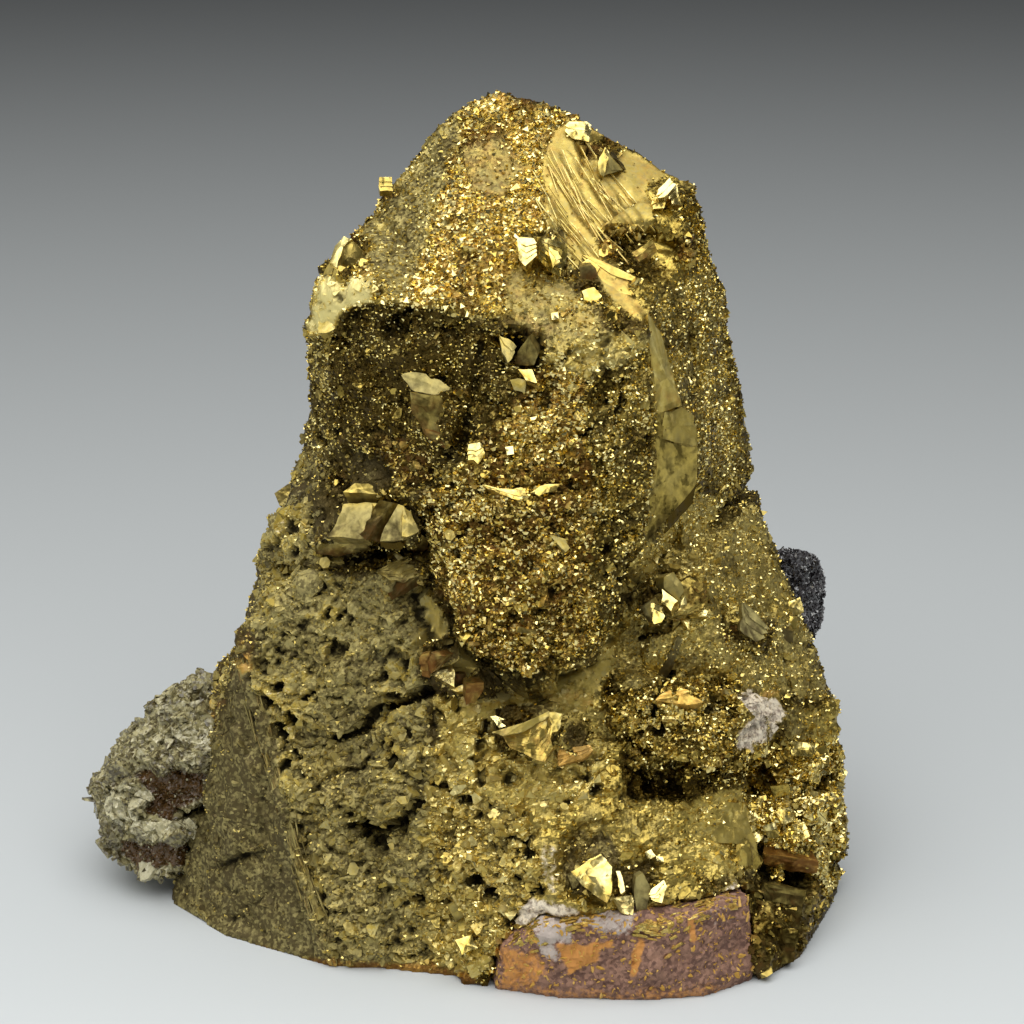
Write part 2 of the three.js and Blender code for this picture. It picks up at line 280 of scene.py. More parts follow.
# %% Pressing the small blocks flat
# middle, direction and size in millimetres, as in the solids
SMALL_BLOCKS = [
    ((-7.6, 1, 71), (-0.3, -0.2, 1), 2.4, 4), ((-11.8, -4, 66.4), (-0.3, -0.3, 1), 4.4, 5.4),
    ((7.3, -9.3, 68.6), (0.1, -0.8, 1), 4.6, 4.6), ((19.2, -0.5, 72), (0.2, -0.6, 1), 4.4, 5),
    ((13.4, 2.5, 75), (0, -0.5, 1), 3.4, 4.4), ((17.5, -6, 66.5), (0.2, -0.5, 1), 5, 4.6),
    ((-11.4, -10.5, 43.2), (-0.5, -1, 0.5), 8.5, 5), ((-6.6, -13, 42.2), (0, -1, 0.4), 5, 5),
    ((-7.4, -13.2, 37.6), (-0.2, -1, 0.4), 5.4, 4.6), ((-2.4, -16.6, 31.2), (0, -1, 0.6), 4, 5),
    ((1.6, -17.2, 28.4), (0.2, -1, 0.5), 3.6, 4.6), ((5.6, -18.6, 24.6), (-0.2, -0.9, 0.8), 6.6, 5),
    ((10.4, -18.6, 23.6), (0.3, -0.9, 0.7), 4, 4), ((20.6, -13.6, 35.6), (0.2, -1, 0.7), 4.8, 5),
    ((17.6, -14.4, 35.2), (-0.2, -1, 0.6), 3.8, 4.6), ((27.6, -9.4, 30.2), (0.5, -0.7, 0.6), 5, 4.6),
    ((12.4, -23.2, 12.4), (-0.1, -1, 0.5), 5.4, 5), ((15.4, -23.4, 11.2), (0.3, -1, 0.3), 3.8, 5),
    ((-5, 17.5, 56), (-0.4, 1, 0.5), 8, 8), ((9, 21.5, 44), (0.1, 1, 0.4), 9, 8),
    ((22.5, 21, 35), (0.6, 1, 0.2), 8, 8), ((-17, 20, 32), (-0.6, 1, 0.3), 9, 9),
    ((5, 24.7, 20), (0, 1, 0.2), 9, 5),
]


def pressed(points, at, toward, wide, tall):
    """Moves the part of a small block that stands above its waist back to the waist."""
    up = np.array(toward) / np.linalg.norm(toward)
    away = points - np.array(at)
    above = away @ up
    aside = np.linalg.norm(away - above[:, None] * up, axis=1)
    share = (1 - ramp(aside, 0.62 * wide, 0.85 * wide)) * (np.abs(above) < tall)
    return points - up * (share * np.maximum(above + 0.15 * tall, 0))[:, None]


for small_block in SMALL_BLOCKS:
    ore_points = pressed(ore_points, *small_block)
set_points(ore_mesh, ore_points)
ore_normals = soft_normals(ore_mesh, ore_edges)
print("pressed flat:", len(SMALL_BLOCKS))

# %% [markdown]
# ## A map of the specimen's areas
# A collector would describe the specimen area by area: the golden face on top, the dark face under the
# brow, the smooth window, the trough under the chin. Each area is an outline in the picture and says how
# bare, golden, rusty or dull it is, how deep its relief and its pits are and how coarse its druse is. The
# values end up on the vertices as attributes, so the carving, the druse and the finishes read the same map.

# %% Areas
COLUMNS = ("bare", "gold", "rust", "dull", "relief", "pits", "chips", "plates", "grain", "stone")
GROUND = (0.1, 0.5, 0.10, 0.35, 0.35, 0.35, 0.20, 0.10, 0.18, 0.0)
# outline in the picture, then the values in the order of the columns
AREAS = {
    "top druse": ([(495, 90), (590, 118), (560, 200), (520, 320), (375, 300), (335, 240), (380, 170),
        (440, 118)],
        0.0, 0.95, 0.5, 0.15, 0.2, 0.1, 0.08, 0.0, 0.27, 0.0),
    "grey slope": ([(350, 240), (385, 180), (430, 135), (470, 112), (445, 190), (425, 260), (400, 300)],
        0.1, 0.86, 0.08, 0.68, 0.2, 0.2, 0.05, 0.02, 0.2, 0.0),
    "bald spot": ([(466, 150), (500, 140), (520, 165), (505, 200), (474, 195)],
        0.6, 0.6, 0.5, 0.5, 0.05, 0.0, 0.0, 0.0, 0.2, 0.0),
    "golden flow face": ([(556, 130), (600, 118), (650, 160), (690, 185), (655, 215), (650, 232), (598, 235),
        (600, 262), (570, 262), (548, 222), (540, 170)],
        0.97, 0.8, 0.42, 0.5, 0.05, 0.0, 0.0, 0.0, 0.15, 0.0),
    "lower flow": ([(592, 262), (606, 256), (648, 312), (640, 322), (615, 305)],
        0.95, 0.72, 0.5, 0.5, 0.1, 0.0, 0.0, 0.0, 0.15, 0.0),
    "broken rim of the flow": ([(598, 232), (655, 228), (695, 240), (690, 262), (640, 268), (602, 256)],
        0.2, 0.6, 0.6, 0.1, 0.7, 0.5, 0.7, 0.4, 0.2, 0.0),
    "purple tint": ([(520, 270), (560, 268), (600, 320), (590, 362), (540, 352), (505, 310)],
        0.5, 0.75, 0.4, 0.55, 0.12, 0.1, 0.05, 0.0, 0.22, 0.12),
    "grey under the brow": ([(540, 362), (600, 332), (655, 340), (660, 372), (600, 385)],
        0.2, 1.15, 0.05, 0.6, 0.25, 0.5, 0.2, 0.05, 0.24, 0.0),
    "pale brow": ([(313, 320), (325, 285), (378, 280), (378, 296), (352, 306), (340, 330), (318, 334)],
        0.85, 1.8, 0.12, 0.8, 0.4, 0.8, 0.2, 0.2, 0.2, 0.0),
    "dark face": ([(308, 335), (340, 332), (352, 312), (380, 300), (450, 305), (508, 338), (540, 370),
        (480, 440), (440, 485), (330, 480), (312, 440)],
        0.2, 0.46, 0.25, 0.28, 0.34, 0.6, 0.05, 0.03, 0.14, 0.0),
    "foot of the dark face": ([(330, 430), (420, 440), (440, 485), (330, 486)],
        0.1, 0.5, 0.5, 0.3, 0.5, 0.5, 0.4, 0.3, 0.17, 0.0),
    "chin face": ([(545, 372), (590, 375), (600, 420), (600, 530), (600, 640), (525, 690), (455, 640),
        (430, 500), (480, 445)],
        0.0, 0.72, 0.5, 0.06, 0.4, 0.5, 0.12, 0.03, 0.25, 0.0),
    "cheek druse": ([(590, 375), (650, 350), (658, 420), (648, 540), (600, 640), (590, 450)],
        0.05, 0.7, 0.15, 0.28, 0.22, 0.6, 0.03, 0.0, 0.19, 0.0),
    "window": ([(648, 318), (662, 345), (690, 425), (698, 470), (676, 510), (645, 545), (652, 480),
        (657, 400)],
        1.0, 0.45, 0.2, 0.2, 0.0, 0.0, 0.0, 0.0, 0.15, 0.0),
    "right strip": ([(650, 300), (715, 250), (745, 480), (700, 490), (695, 425), (668, 362)],
        0.1, 0.9, 0.2, 0.32, 0.16, 0.3, 0.03, 0.0, 0.17, 0.0),
    "trough": ([(412, 585), (448, 625), (480, 665), (525, 688), (592, 660), (640, 590), (652, 606),
        (600, 692), (520, 694), (465, 682), (415, 650)],
        0.85, 0.92, 0.2, 0.6, 0.06, 0.05, 0.02, 0.0, 0.13, 0.0),
    "left lumps": ([(262, 540), (300, 505), (335, 500), (345, 560), (280, 610), (255, 620)],
        0.4, 0.68, 0.03, 0.75, 0.6, 1.0, 0.3, 0.2, 0.18, 0.0),
    "ridge face": ([(255, 615), (300, 575), (395, 570), (418, 600), (430, 690), (345, 740), (262, 690)],
        0.6, 0.48, 0.04, 0.82, 0.25, 1.3, 0.08, 0.12, 0.17, 0.0),
    "ridge front": ([(262, 690), (345, 740), (430, 700), (440, 800), (430, 970), (330, 975), (296, 860)],
        0.5, 0.6, 0.15, 0.74, 0.5, 1.3, 0.25, 0.18, 0.18, 0.0),
    "ridge side": ([(240, 668), (262, 690), (296, 860), (330, 975), (220, 950), (160, 900), (200, 760)],
        0.8, 0.14, 0.08, 0.85, 0.1, 0.3, 0.05, 0.03, 0.15, 0.0),
    "golden rough": ([(430, 740), (520, 760), (560, 860), (540, 920), (470, 985), (425, 970)],
        0.3, 0.95, 0.22, 0.55, 0.6, 1.0, 0.8, 0.45, 0.2, 0.0),
    "skirt's shoulder": ([(430, 700), (520, 700), (600, 712), (610, 790), (540, 830), (450, 770)],
        0.55, 1.0, 0.15, 0.5, 0.26, 0.6, 0.2, 0.08, 0.17, 0.0),
    # painted light: the top of the shoulder under the chin gets a pale tarnish, so that it stays bright in
    # the shade of the chin
    "shoulder's top": ([(462, 700), (520, 692), (598, 690), (608, 716), (520, 724), (470, 716)],
        0.5, 1.35, 0.45, 0.8, 0.2, 0.3, 0.3, 0.15, 0.18, 0.0),
    "middle skirt": ([(600, 700), (650, 800), (720, 800), (700, 900), (560, 915), (530, 830), (600, 790)],
        0.7, 0.6, 0.2, 0.3, 0.38, 0.4, 0.12, 0.03, 0.17, 0.0),
    "flank druse": ([(650, 550), (690, 490), (755, 500), (800, 600), (830, 700), (740, 690), (620, 690),
        (610, 650)],
        0.4, 0.9, 0.12, 0.45, 0.3, 0.4, 0.06, 0.02, 0.17, 0.0),
    "overhang": ([(610, 690), (740, 680), (750, 770), (700, 790), (620, 770)],
        0.1, 0.75, 0.35, 0.12, 0.5, 0.9, 0.3, 0.3, 0.2, 0.0),
    "orange by the clay": ([(764, 688), (778, 690), (782, 706), (770, 710), (762, 700)],
        0.9, 1.1, 1.3, 0.0, 0.2, 0.3, 0.1, 0.0, 0.17, 0.0),
    "clay patch": ([(730, 702), (749, 688), (763, 696), (776, 694), (787, 713), (774, 740), (752, 756),
        (730, 753), (736, 734), (747, 718)],
        0.8, 0.5, 0.1, 0.3, 0.3, 0.6, 0.15, 0.1, 0.18, 0.8),
    "gold blocks": ([(750, 745), (835, 740), (845, 890), (790, 900), (750, 830)],
        0.2, 0.85, 0.25, 0.0, 0.6, 0.6, 1.3, 0.5, 0.24, 0.0),
    "foot block": ([(690, 790), (752, 790), (762, 870), (715, 880), (690, 860)],
        0.7, 0.85, 0.15, 0.35, 0.2, 0.4, 0.15, 0.04, 0.16, 0.0),
    "olive foot": ([(750, 880), (820, 880), (815, 960), (760, 985), (745, 930)],
        0.8, 0.1, 0.35, 0.3, 0.4, 0.6, 0.4, 0.2, 0.16, 0.0),
    "rusty rim": ([(215, 938), (330, 962), (430, 962), (470, 985), (400, 990), (330, 990), (210, 955)],
        0.6, 0.5, 1.0, 0.2, 0.4, 0.3, 0.15, 0.2, 0.18, 0.0),
    "clay above the matrix": ([(512, 925), (530, 900), (560, 905), (600, 915), (640, 918), (600, 940),
        (520, 945)],
        0.9, 0.6, 0.2, 0.4, 0.3, 0.6, 0.1, 0.05, 0.18, 0.8),
    "clay at the corner": ([(690, 915), (725, 893), (742, 875), (752, 905), (745, 945), (700, 925)],
        0.9, 0.6, 0.1, 0.4, 0.3, 0.6, 0.05, 0.05, 0.18, 0.75),
    "grey stains": ([(540, 838), (556, 842), (566, 880), (562, 905), (548, 895), (538, 862)],
        0.7, 0.6, 0.0, 0.45, 0.3, 0.5, 0.1, 0.1, 0.18, 0.48),
    "left edge of the head": ([(303, 335), (335, 335), (332, 400), (340, 470), (315, 462)],
        0.2, 0.6, 0.1, 0.45, 0.3, 0.9, 0.1, 0.05, 0.17, 0.0),
    # painted shade: the ground under the overhang gets almost no gold, so it is dark ore
    "under the overhang": ([(612, 762), (640, 775), (705, 776), (716, 788), (690, 802), (630, 798)],
        0.5, 0.05, 0.1, 0.1, 0.2, 0.4, 0.0, 0.0, 0.12, 0.0),
    "spot on the ridge": ([(240, 660), (252, 658), (256, 674), (244, 680)],
        1.0, 1.2, 0.9, 0.0, 0.1, 0.0, 0.0, 0.0, 0.15, 0.0),
}


def inside(outline, places, soft):
    """1 within an outline in the picture and 0 outside it, fading over soft pixels."""
    corners = np.array(outline, float)
    following = np.roll(corners, -1, 0)
    nearest = np.full(len(places), 1e9)
    crossings = np.zeros(len(places), bool)
    for a, b in zip(corners, following):
        nearest = np.minimum(nearest, off_stretch(a, b, places))
        side = b - a
        spans = (a[1] > places[:, 1]) != (b[1] > places[:, 1])
        meets = a[0] + (places[:, 1] - a[1]) * side[0] / (side[1] if side[1] else 1e-9)
        crossings ^= spans & (places[:, 0] < meets)
    return ramp(np.where(crossings, nearest, -nearest), -soft / 2, soft / 2)


def off_stretch(a, b, places):
    """Distance of each place in the picture from the stretch between two others, in pixels."""
    side = b - a
    along = np.clip((places - a) @ side / (side @ side), 0, 1)
    return np.linalg.norm(places - a - along[:, None] * side, axis=1)


def off_path(path, places):
    """Distance of each place in the picture from a path of several stretches, in pixels."""
    corners = np.array(path, float)
    return np.min([off_stretch(a, b, places) for a, b in zip(corners[:-1], corners[1:])], axis=0)


def ragged_places(points, reach, size, seed, layers=3):
    """The pixel of each point, wandering by up to reach pixels, so that outlines get ragged edges."""
    wander = reach * np.stack([soft_noise(points, size, seed + k, layers) for k in (0, 1)], 1)
    return picture_place(points) + wander


RAY_START = 0.9  # millimetres off the skin, so that a ray doesn't meet the face that it starts from


def seen_share(points, normals, tree):
    """How well the eye sees each point: 0 where it faces away or something stands before it."""
    to_eye = EYE - points
    to_eye /= np.linalg.norm(to_eye, axis=1)[:, None]
    facing = ramp((normals * to_eye).sum(1), -0.05, 0.2)
    start = points + RAY_START * to_eye
    for i in np.flatnonzero(facing > 0):
        if tree.ray_cast(Vector(start[i]), Vector(to_eye[i]))[0] is not None:
            facing[i] = 0.0
    return facing


def area_map(points, share):
    """The ground values with each area's own values laid over them, as named columns."""
    places = ragged_places(points, 7, 5, 301)
    wild = soft_noise(points, 9, 303)
    values = {name: np.full(len(points), v) for name, v in zip(COLUMNS, GROUND)}
    values["bare"] += 0.7 * ramp(wild, 0.15, 0.7)
    values["gold"] += 0.3 * soft_noise(points, 14, 304)
    clusters = soft_noise(points, 2.6, 307)
    values["rust"] += 0.45 * ramp(soft_noise(points, 11, 305), 0.1, 0.7)
    values["dull"] += 0.4 * ramp(-points[:, 0], 8, 18) * ramp(-points[:, 2], -46, -40)  # the low left flank
    values["dull"] += 0.35 * soft_noise(points, 12, 306)
    for outline, *wanted in AREAS.values():
        mask = inside(outline, places, 12) * share
        for name, value in zip(COLUMNS, wanted):
            values[name] += mask * (value - values[name])
    values["gold"] += 0.28 * clusters * (1 - values["bare"])
    values["crowd"] = ramp(clusters, -0.55, 0.3)
    return values


ore_seen = blurred(seen_share(ore_points, ore_normals, ore_tree), ore_edges, 3)
ore_map = area_map(ore_points, ore_seen)
print("areas:", len(AREAS), "seen share of the skin:", round(float((ore_seen > 0.5).mean()), 2))

# %% [markdown]
# ## Carving the faces
# Crowds of parallel sphenoids in two sizes give steps and ledges, terraced noise gives the flat plates with
# pits between them, and stretched noise gives the fine ribs where a face grew in threads. Slabs, cracks and
# dents that this specimen has are listed one by one as places in the picture. The base stays flat.

# %% Relief
HEAD_TURN = turned(24, -32, 15)
RIDGE_TURN = turned(-18, 22, 38)
HEAD_FOOT = 40  # height at which the head begins, in millimetres
BASE_FADE = 1.6  # millimetres above the base over which the relief grows to its full depth
STRETCH = 14  # how many times longer than wide the ribs are


def scales(points, size, lie, seed):
    """Ragged scales that lie over one another: each rises slowly along lie and ends in a steep break."""
    along = points @ np.array(lie) / size + 1.3 * soft_noise(points, 1.7 * size, seed)
    part = along - np.floor(along)
    return part * (1 - ramp(part, 0.82, 1.0)) - 0.4


def crystal_relief(points, values):
    """Height of the crystal steps, plates and pits over each point, in millimetres."""
    swell = 0.35 * soft_noise(points, 13, 11) + 0.2 * soft_noise(points, 6, 12)
    on_head = ramp(points[:, 2], HEAD_FOOT - 2, HEAD_FOOT + 2)
    crowds = 0.0
    for share, turn, seed in ((on_head, HEAD_TURN, 21), (1 - on_head, RIDGE_TURN, 22)):
        there = share > 0
        rough = np.zeros(len(points))
        coarse, middle, fine = (sphenoid_noise(points[there], size, seed + k, turn)
                                for k, size in ((0, 5.2), (40, 2.3), (80, 1.15)))
        steps = 0.8 * np.clip(coarse, -0.9, 0.9) + 0.9 * np.clip(middle, -0.5, 0.6)
        rough[there] = values["relief"][there] * steps
        rough[there] += 0.45 * values["pits"][there] * np.clip(fine, -0.3, 0.35)
        crowds = crowds + share * rough
    plates = 0.3 * terraces(2.4 * soft_noise(points, 5.5, 13, 2))
    crust = 0.46 * scales(points, 2.1, (0.25, -0.2, -0.95), 14)
    crust += 0.18 * scales(points, 1.0, (-0.3, -0.2, -0.9), 15)
    patch = ramp(soft_noise(points, 6, 32), -0.35, 0.45)
    holes = -1.3 * patch * ramp(soft_noise(points, 1.4, 31, 2), 0.22, 0.42)
    grit = 0.07 * soft_noise(points, 0.9, 41, 2)
    return 0.8 * swell + crowds + values["pits"] * (plates + crust + holes) + grit * (1 - values["bare"])


# where ribs run: outline, two pixels that give their direction, width of a rib and height in millimetres
RIBS = {
    "flow": (AREAS["golden flow face"][0], (556, 140), (628, 262), 0.7, 0.012),
    "lower flow": (AREAS["lower flow"][0], (596, 262), (640, 318), 0.6, 0.03),
    "left of the flow": ([(540, 180), (560, 160), (600, 240), (590, 262), (560, 258)],
        (548, 190), (600, 262), 0.6, 0.14),
    "ridge": ([(240, 690), (285, 690), (345, 860), (370, 970), (310, 975), (262, 850)],
        (252, 700), (330, 950), 0.5, 0.25),
    "ridge side": (AREAS["ridge side"][0], (250, 700), (310, 930), 1.0, 0.12),
    "trough": (AREAS["trough"][0], (436, 610), (440, 690), 0.6, 0.12),
    "skirt": ([(520, 760), (640, 790), (640, 900), (560, 900)], (560, 770), (590, 890), 1.0, 0.22),
    "purple": (AREAS["purple tint"][0], (545, 275), (565, 350), 0.7, 0.12),
}

# height in millimetres by which these outlines stand out, with steep rims; a minus sinks them
SLABS = {
    "pale brow": ([(308, 320), (325, 285), (382, 280), (380, 300), (352, 312), (340, 335), (316, 338)], 0.7),
    "rim of the brow": ([(376, 296), (450, 300), (482, 314), (512, 336), (506, 342), (478, 324), (448, 311),
        (378, 305)],
        0.6),
    "left ledge": ([(325, 500), (345, 484), (400, 482), (455, 492), (448, 502), (400, 505), (340, 508)],
        1.2),
    "upper slab": ([(245, 640), (300, 572), (395, 570), (425, 640), (430, 684), (400, 698), (372, 708),
        (345, 737), (310, 722), (255, 690)],
        1.2),
    "second slab": ([(345, 790), (385, 755), (425, 745), (420, 790), (400, 818), (365, 822)], 0.9),
    "third slab": ([(300, 800), (340, 790), (352, 850), (340, 900), (318, 880)], 0.4),
    "ridge side": ([(222, 690), (245, 690), (290, 860), (322, 980), (215, 960), (150, 905), (195, 760)],
        -0.4),
    "plate on the side": ([(210, 735), (240, 725), (262, 790), (255, 850), (218, 862), (205, 800)], 0.7),
    "chin ledge": ([(478, 500), (520, 490), (545, 496), (600, 485), (605, 497), (560, 508), (510, 512)],
        0.6),
    "tongue": ([(408, 396), (450, 392), (468, 410), (455, 445), (435, 452), (418, 425)], 0.8),
    "right of the flow": ([(640, 205), (668, 215), (694, 240), (680, 250), (640, 232), (605, 240),
        (600, 228)],
        0.8),
    "overhang": ([(618, 700), (700, 686), (735, 700), (735, 755), (700, 780), (650, 772), (620, 748)], 0.8),
    "window": (AREAS["window"][0], -0.4),
}

# path in the picture, half its width in pixels and its depth in millimetres; a minus depth is a crest
CRACKS = {
    "under the upper slab": ([(335, 742), (350, 736), (374, 714), (403, 704), (432, 690)], 7, 1.5),
    "under the second slab": ([(352, 828), (375, 832), (402, 824), (424, 800)], 7, 1.3),
    "ridge crest": ([(245, 668), (262, 728), (296, 850), (330, 955)], 8, -0.3),
    "foot of the head": ([(452, 632), (478, 662), (520, 684), (592, 662), (618, 626)], 5, 0.5),
    "under the brow": ([(505, 345), (530, 360), (548, 368)], 7, 0.5),
    "left of the chin": ([(480, 345), (472, 400), (466, 440), (432, 470)], 6, 0.6),
    "beside the window": ([(650, 318), (657, 400), (652, 480), (644, 545)], 4, 0.3),
    "foot of the fan": ([(322, 552), (360, 558), (400, 552), (425, 545)], 6, 1.0),
    "under the flank fan": ([(640, 640), (668, 628), (700, 600)], 5, 0.7),
    "fissure": ([(668, 672), (660, 697), (655, 716)], 4, 1.4),
    "beside the foot block": ([(752, 790), (760, 830), (768, 876)], 7, 1.0),
    "crack on the side": ([(218, 925), (245, 912), (268, 890)], 4, 0.3),
    "crack under the side plate": ([(212, 866), (236, 858), (262, 852)], 5, 0.4),
}

FLOW_LINES = 9  # fine cracks that fan out over the golden face
for line, across in enumerate(np.linspace(0, 1, FLOW_LINES)):
    upper = np.array((536, 192)) + across * np.array((46, -56))
    lower = np.array((584, 268)) + across * np.array((60, -44))
    bend = (upper + lower) / 2 + (-5 + 6 * math.sin(2.4 * line), 4 * math.cos(1.7 * line))
    CRACKS[f"flow line {line + 1}"] = ([upper, bend, lower], 3, 0.12 + 0.12 * (line % 2))

# pixel of the middle, radius and depth in millimetres; a minus depth is a bump
DENTS = {
    "hole in the dark face": (402, 322, 1.3, 1.5),
    "its left end": (390, 330, 0.9, 1.0),
    "notch under the brow": (526, 348, 1.9, 1.3),
    "notch's left end": (512, 340, 1.2, 0.8),
    "hollow on the golden face": (652, 244, 1.6, 1.4),
    "hollow's right end": (668, 242, 1.4, 1.8),
    "pit beside the hollow": (612, 236, 1.0, 0.9),
    "gap under the fan": (395, 548, 1.6, 2.4),
    "gap's left end": (378, 552, 1.3, 1.4),
    "cavity": (375, 832, 1.9, 2.6),
    "cavity's right end": (396, 830, 1.3, 1.8),
    "slit": (478, 880, 1.3, 2.2),
    "slit's lower end": (488, 892, 1.0, 1.8),
    "hole in the overhang": (716, 702, 1.2, 2.2),
    "hole's right end": (728, 708, 1.0, 1.8),
    "shadow under the overhang": (670, 783, 2.2, 1.9),
    "shadow's left end": (642, 780, 1.7, 1.3),
    "gap between the blocks": (800, 882, 2.2, 2.6),
    "gap's right end": (822, 884, 1.8, 2.4),
    "gap over the gold blocks": (770, 775, 1.6, 1.3),
    "hollow beside the chin": (432, 610, 3.4, 1.3),
    "chin's left hollow": (470, 690, 1.5, 1.1),
    "bulge of the chin": (505, 590, 5.0, -0.9),
    "dent in the step": (338, 596, 1.4, 0.7),
    "pit by the striated crystal": (508, 776, 1.2, 0.8),
}


def along_ribs(points, first, second, width):
    """Noise stretched along the line between two pixels."""
    direction = spot(*second)[0] - spot(*first)[0]
    direction /= np.linalg.norm(direction)
    along = points @ direction
    return soft_noise(points - np.outer(along * (1 - 1 / STRETCH), direction), width, 601, 2)


def carved(points, height, share):
    """Adds the listed ribs, slabs, cracks and dents to a relief."""
    places = ragged_places(points, 3.5, 1.6, 611, 2)
    for outline, first, second, width, rise in RIBS.values():
        mask = inside(outline, places, 14) * share
        there = mask > 0
        height[there] += rise * mask[there] * along_ribs(points[there], first, second, width)
    for outline, rise in SLABS.values():
        height += rise * inside(outline, places, 4) * share
    for path, half_width, depth in CRACKS.values():
        height -= depth * (1 - ramp(off_path(path, places), 0.35 * half_width, half_width)) * share
    for number, (u, v, radius, depth) in enumerate(DENTS.values()):
        away = np.linalg.norm(points - spot(u, v)[0], axis=1)
        near = away < 1.6 * radius
        ragged = away[near] / radius + 0.5 * soft_noise(points[near], 1.6, 500 + number)
        height[near] -= depth * (1 - ramp(ragged, 0.6, 1.05))
    return height


ore_height = carved(ore_points, crystal_relief(ore_points, ore_map), ore_seen)
ore_height *= ramp(ore_points[:, 2], 0.0, BASE_FADE)
ore_shaped = ore_points + ore_normals * ore_height[:, None]
under = (ore_points[:, 2] < 0.6) & (ore_normals[:, 2] < -0.8)
ore_shaped[under, 2] += 0.9 * ramp(soft_noise(ore_points[under], 4.5, 71), 0.0, 0.7)  # the broken underside
ore_shaped[:, 2] = np.maximum(ore_shaped[:, 2], 0.0)
# The hollow value, how far the skin lies below its blurred self and how deep a valley it is in, darkens the
# finishes: partly grime, partly painted shade.
valley = ((blurred(ore_points, ore_edges, 14) - ore_points) * ore_normals).sum(1)
ore_map["hollow"] = np.maximum(blurred(ore_height, ore_edges, 10) - ore_height, 0)
ore_map["hollow"] += 0.4 * np.maximum(valley, 0) * (1 - 0.85 * ore_map["bare"].clip(0, 1))
# Raised rims of the pitted relief get more gold and some clay colour: partly worn edges, partly painted
# highlight.
rims = ramp(ore_height - blurred(ore_height, ore_edges, 5), 0.03, 0.2)
rims *= ramp(soft_noise(ore_points, 6, 32), -0.3, 0.4)
rims *= ramp(ore_map["pits"], 0.2, 0.7)
pale = ramp(ore_map["dull"], 0.5, 0.8)
ore_map["gold"] += rims * (0.4 + 0.2 * pale)
ore_map["stone"] += 0.45 * rims * pale
set_points(ore_mesh, ore_shaped)
print("relief from", ore_height.min().round(2), "to", ore_height.max().round(2), "mm")

# %% [markdown]
# ## Finishes
# Chalcopyrite is a metal to the eye: it has hardly any colour of its own but tints what it mirrors, from pale
# gold where it is clean to dark olive where it has tarnished. Rust and clay on it aren't metallic at all. So
# one group of nodes mixes the colour, the metallic share and the roughness from the map's values, and a
# second one tilts the surface in tiny cells, as the facets of a druse too fine to model do.

# %% Node helpers
def feed(tree, node, inputs):
    """Links a node's inputs to sockets or sets them to values."""
    for key, value in inputs.items():
        if isinstance(value, bpy.types.NodeSocket):
            tree.links.new(value, node.inputs[key])
        else:
            node.inputs[key].default_value = value


def wire(tree, node_type, inputs=(), **settings):
    """A new node with its settings and its inputs."""
    node = tree.nodes.new(node_type)
    for key, value in settings.items():
        setattr(node, key, value)
    feed(tree, node, dict(inputs))
    return node


def group(name, inputs, outputs):
    """An empty node group and its end nodes; inputs come with a number each, or with None for a vector."""
    tree = bpy.data.node_groups.new(name, "ShaderNodeTree")
    for socket, value in inputs.items():
        kind = "NodeSocketVector" if value is None else "NodeSocketFloat"
        made = tree.interface.new_socket(socket, in_out="INPUT", socket_type=kind)
        if value is not None:
            made.default_value = value
    for socket, kind in outputs.items():
        tree.interface.new_socket(socket, in_out="OUTPUT", socket_type="NodeSocket" + kind)
    return tree, tree.nodes.new("NodeGroupInput"), tree.nodes.new("NodeGroupOutput")


def maths(tree, operation, a, b, clamp=False):
    return wire(tree, "ShaderNodeMath", {0: a, 1: b}, operation=operation, use_clamp=clamp).outputs[0]


def vector_maths(tree, operation, a, b):
    return wire(tree, "ShaderNodeVectorMath", {0: a, 1: b}, operation=operation).outputs[0]


def scaled(tree, vector, factor):
    return wire(tree, "ShaderNodeVectorMath", {0: vector, "Scale": factor}, operation="SCALE").outputs[0]


def stirred(tree, value, stir, strength):
    """A value with a noise between 0 and 1 added to it, centred."""
    return maths(tree, "ADD", value, maths(tree, "MULTIPLY", maths(tree, "SUBTRACT", stir, 0.5), strength))


def span(tree, value, low, high, to_low=0.0, to_high=1.0):
    """A value's place between two bounds, smoothly, as a number between two others."""
    inputs = {"Value": value, "From Min": low, "From Max": high, "To Min": to_low, "To Max": to_high}
    return wire(tree, "ShaderNodeMapRange", inputs, interpolation_type="SMOOTHSTEP").outputs["Result"]


def blend_colour(tree, share, a, b):
    return wire(tree, "ShaderNodeMix", {0: share, 6: a, 7: b}, data_type="RGBA").outputs[2]


def graded(tree, value, colour, steps):
    """A colour that turns into others one after another, as a value rises through each pair of bounds."""
    for low, high, following in steps:
        colour = blend_colour(tree, span(tree, value, low, high), colour, following)
    return colour


def noise(tree, place, per_mm):
    """Noise with this many swells to the millimetre."""
    inputs = {"Vector": place, "Scale": per_mm / MM, "Detail": 4.0, "Roughness": 0.6}
    return wire(tree, "ShaderNodeTexNoise", inputs).outputs["Fac"]


def paint(r, g, b):
    return (r, g, b, 1.0)


def attribute(tree, name):
    return wire(tree, "ShaderNodeAttribute", attribute_name=name).outputs["Fac"]


# %% Group: fine druse
def leaning(tree, normal, stir, amount):
    """A normal with a noise's colour added to it, centred, as far as amount says."""
    centred = vector_maths(tree, "SUBTRACT", stir, (0.5, 0.5, 0.5))
    return vector_maths(tree, "ADD", normal, scaled(tree, centred, amount))


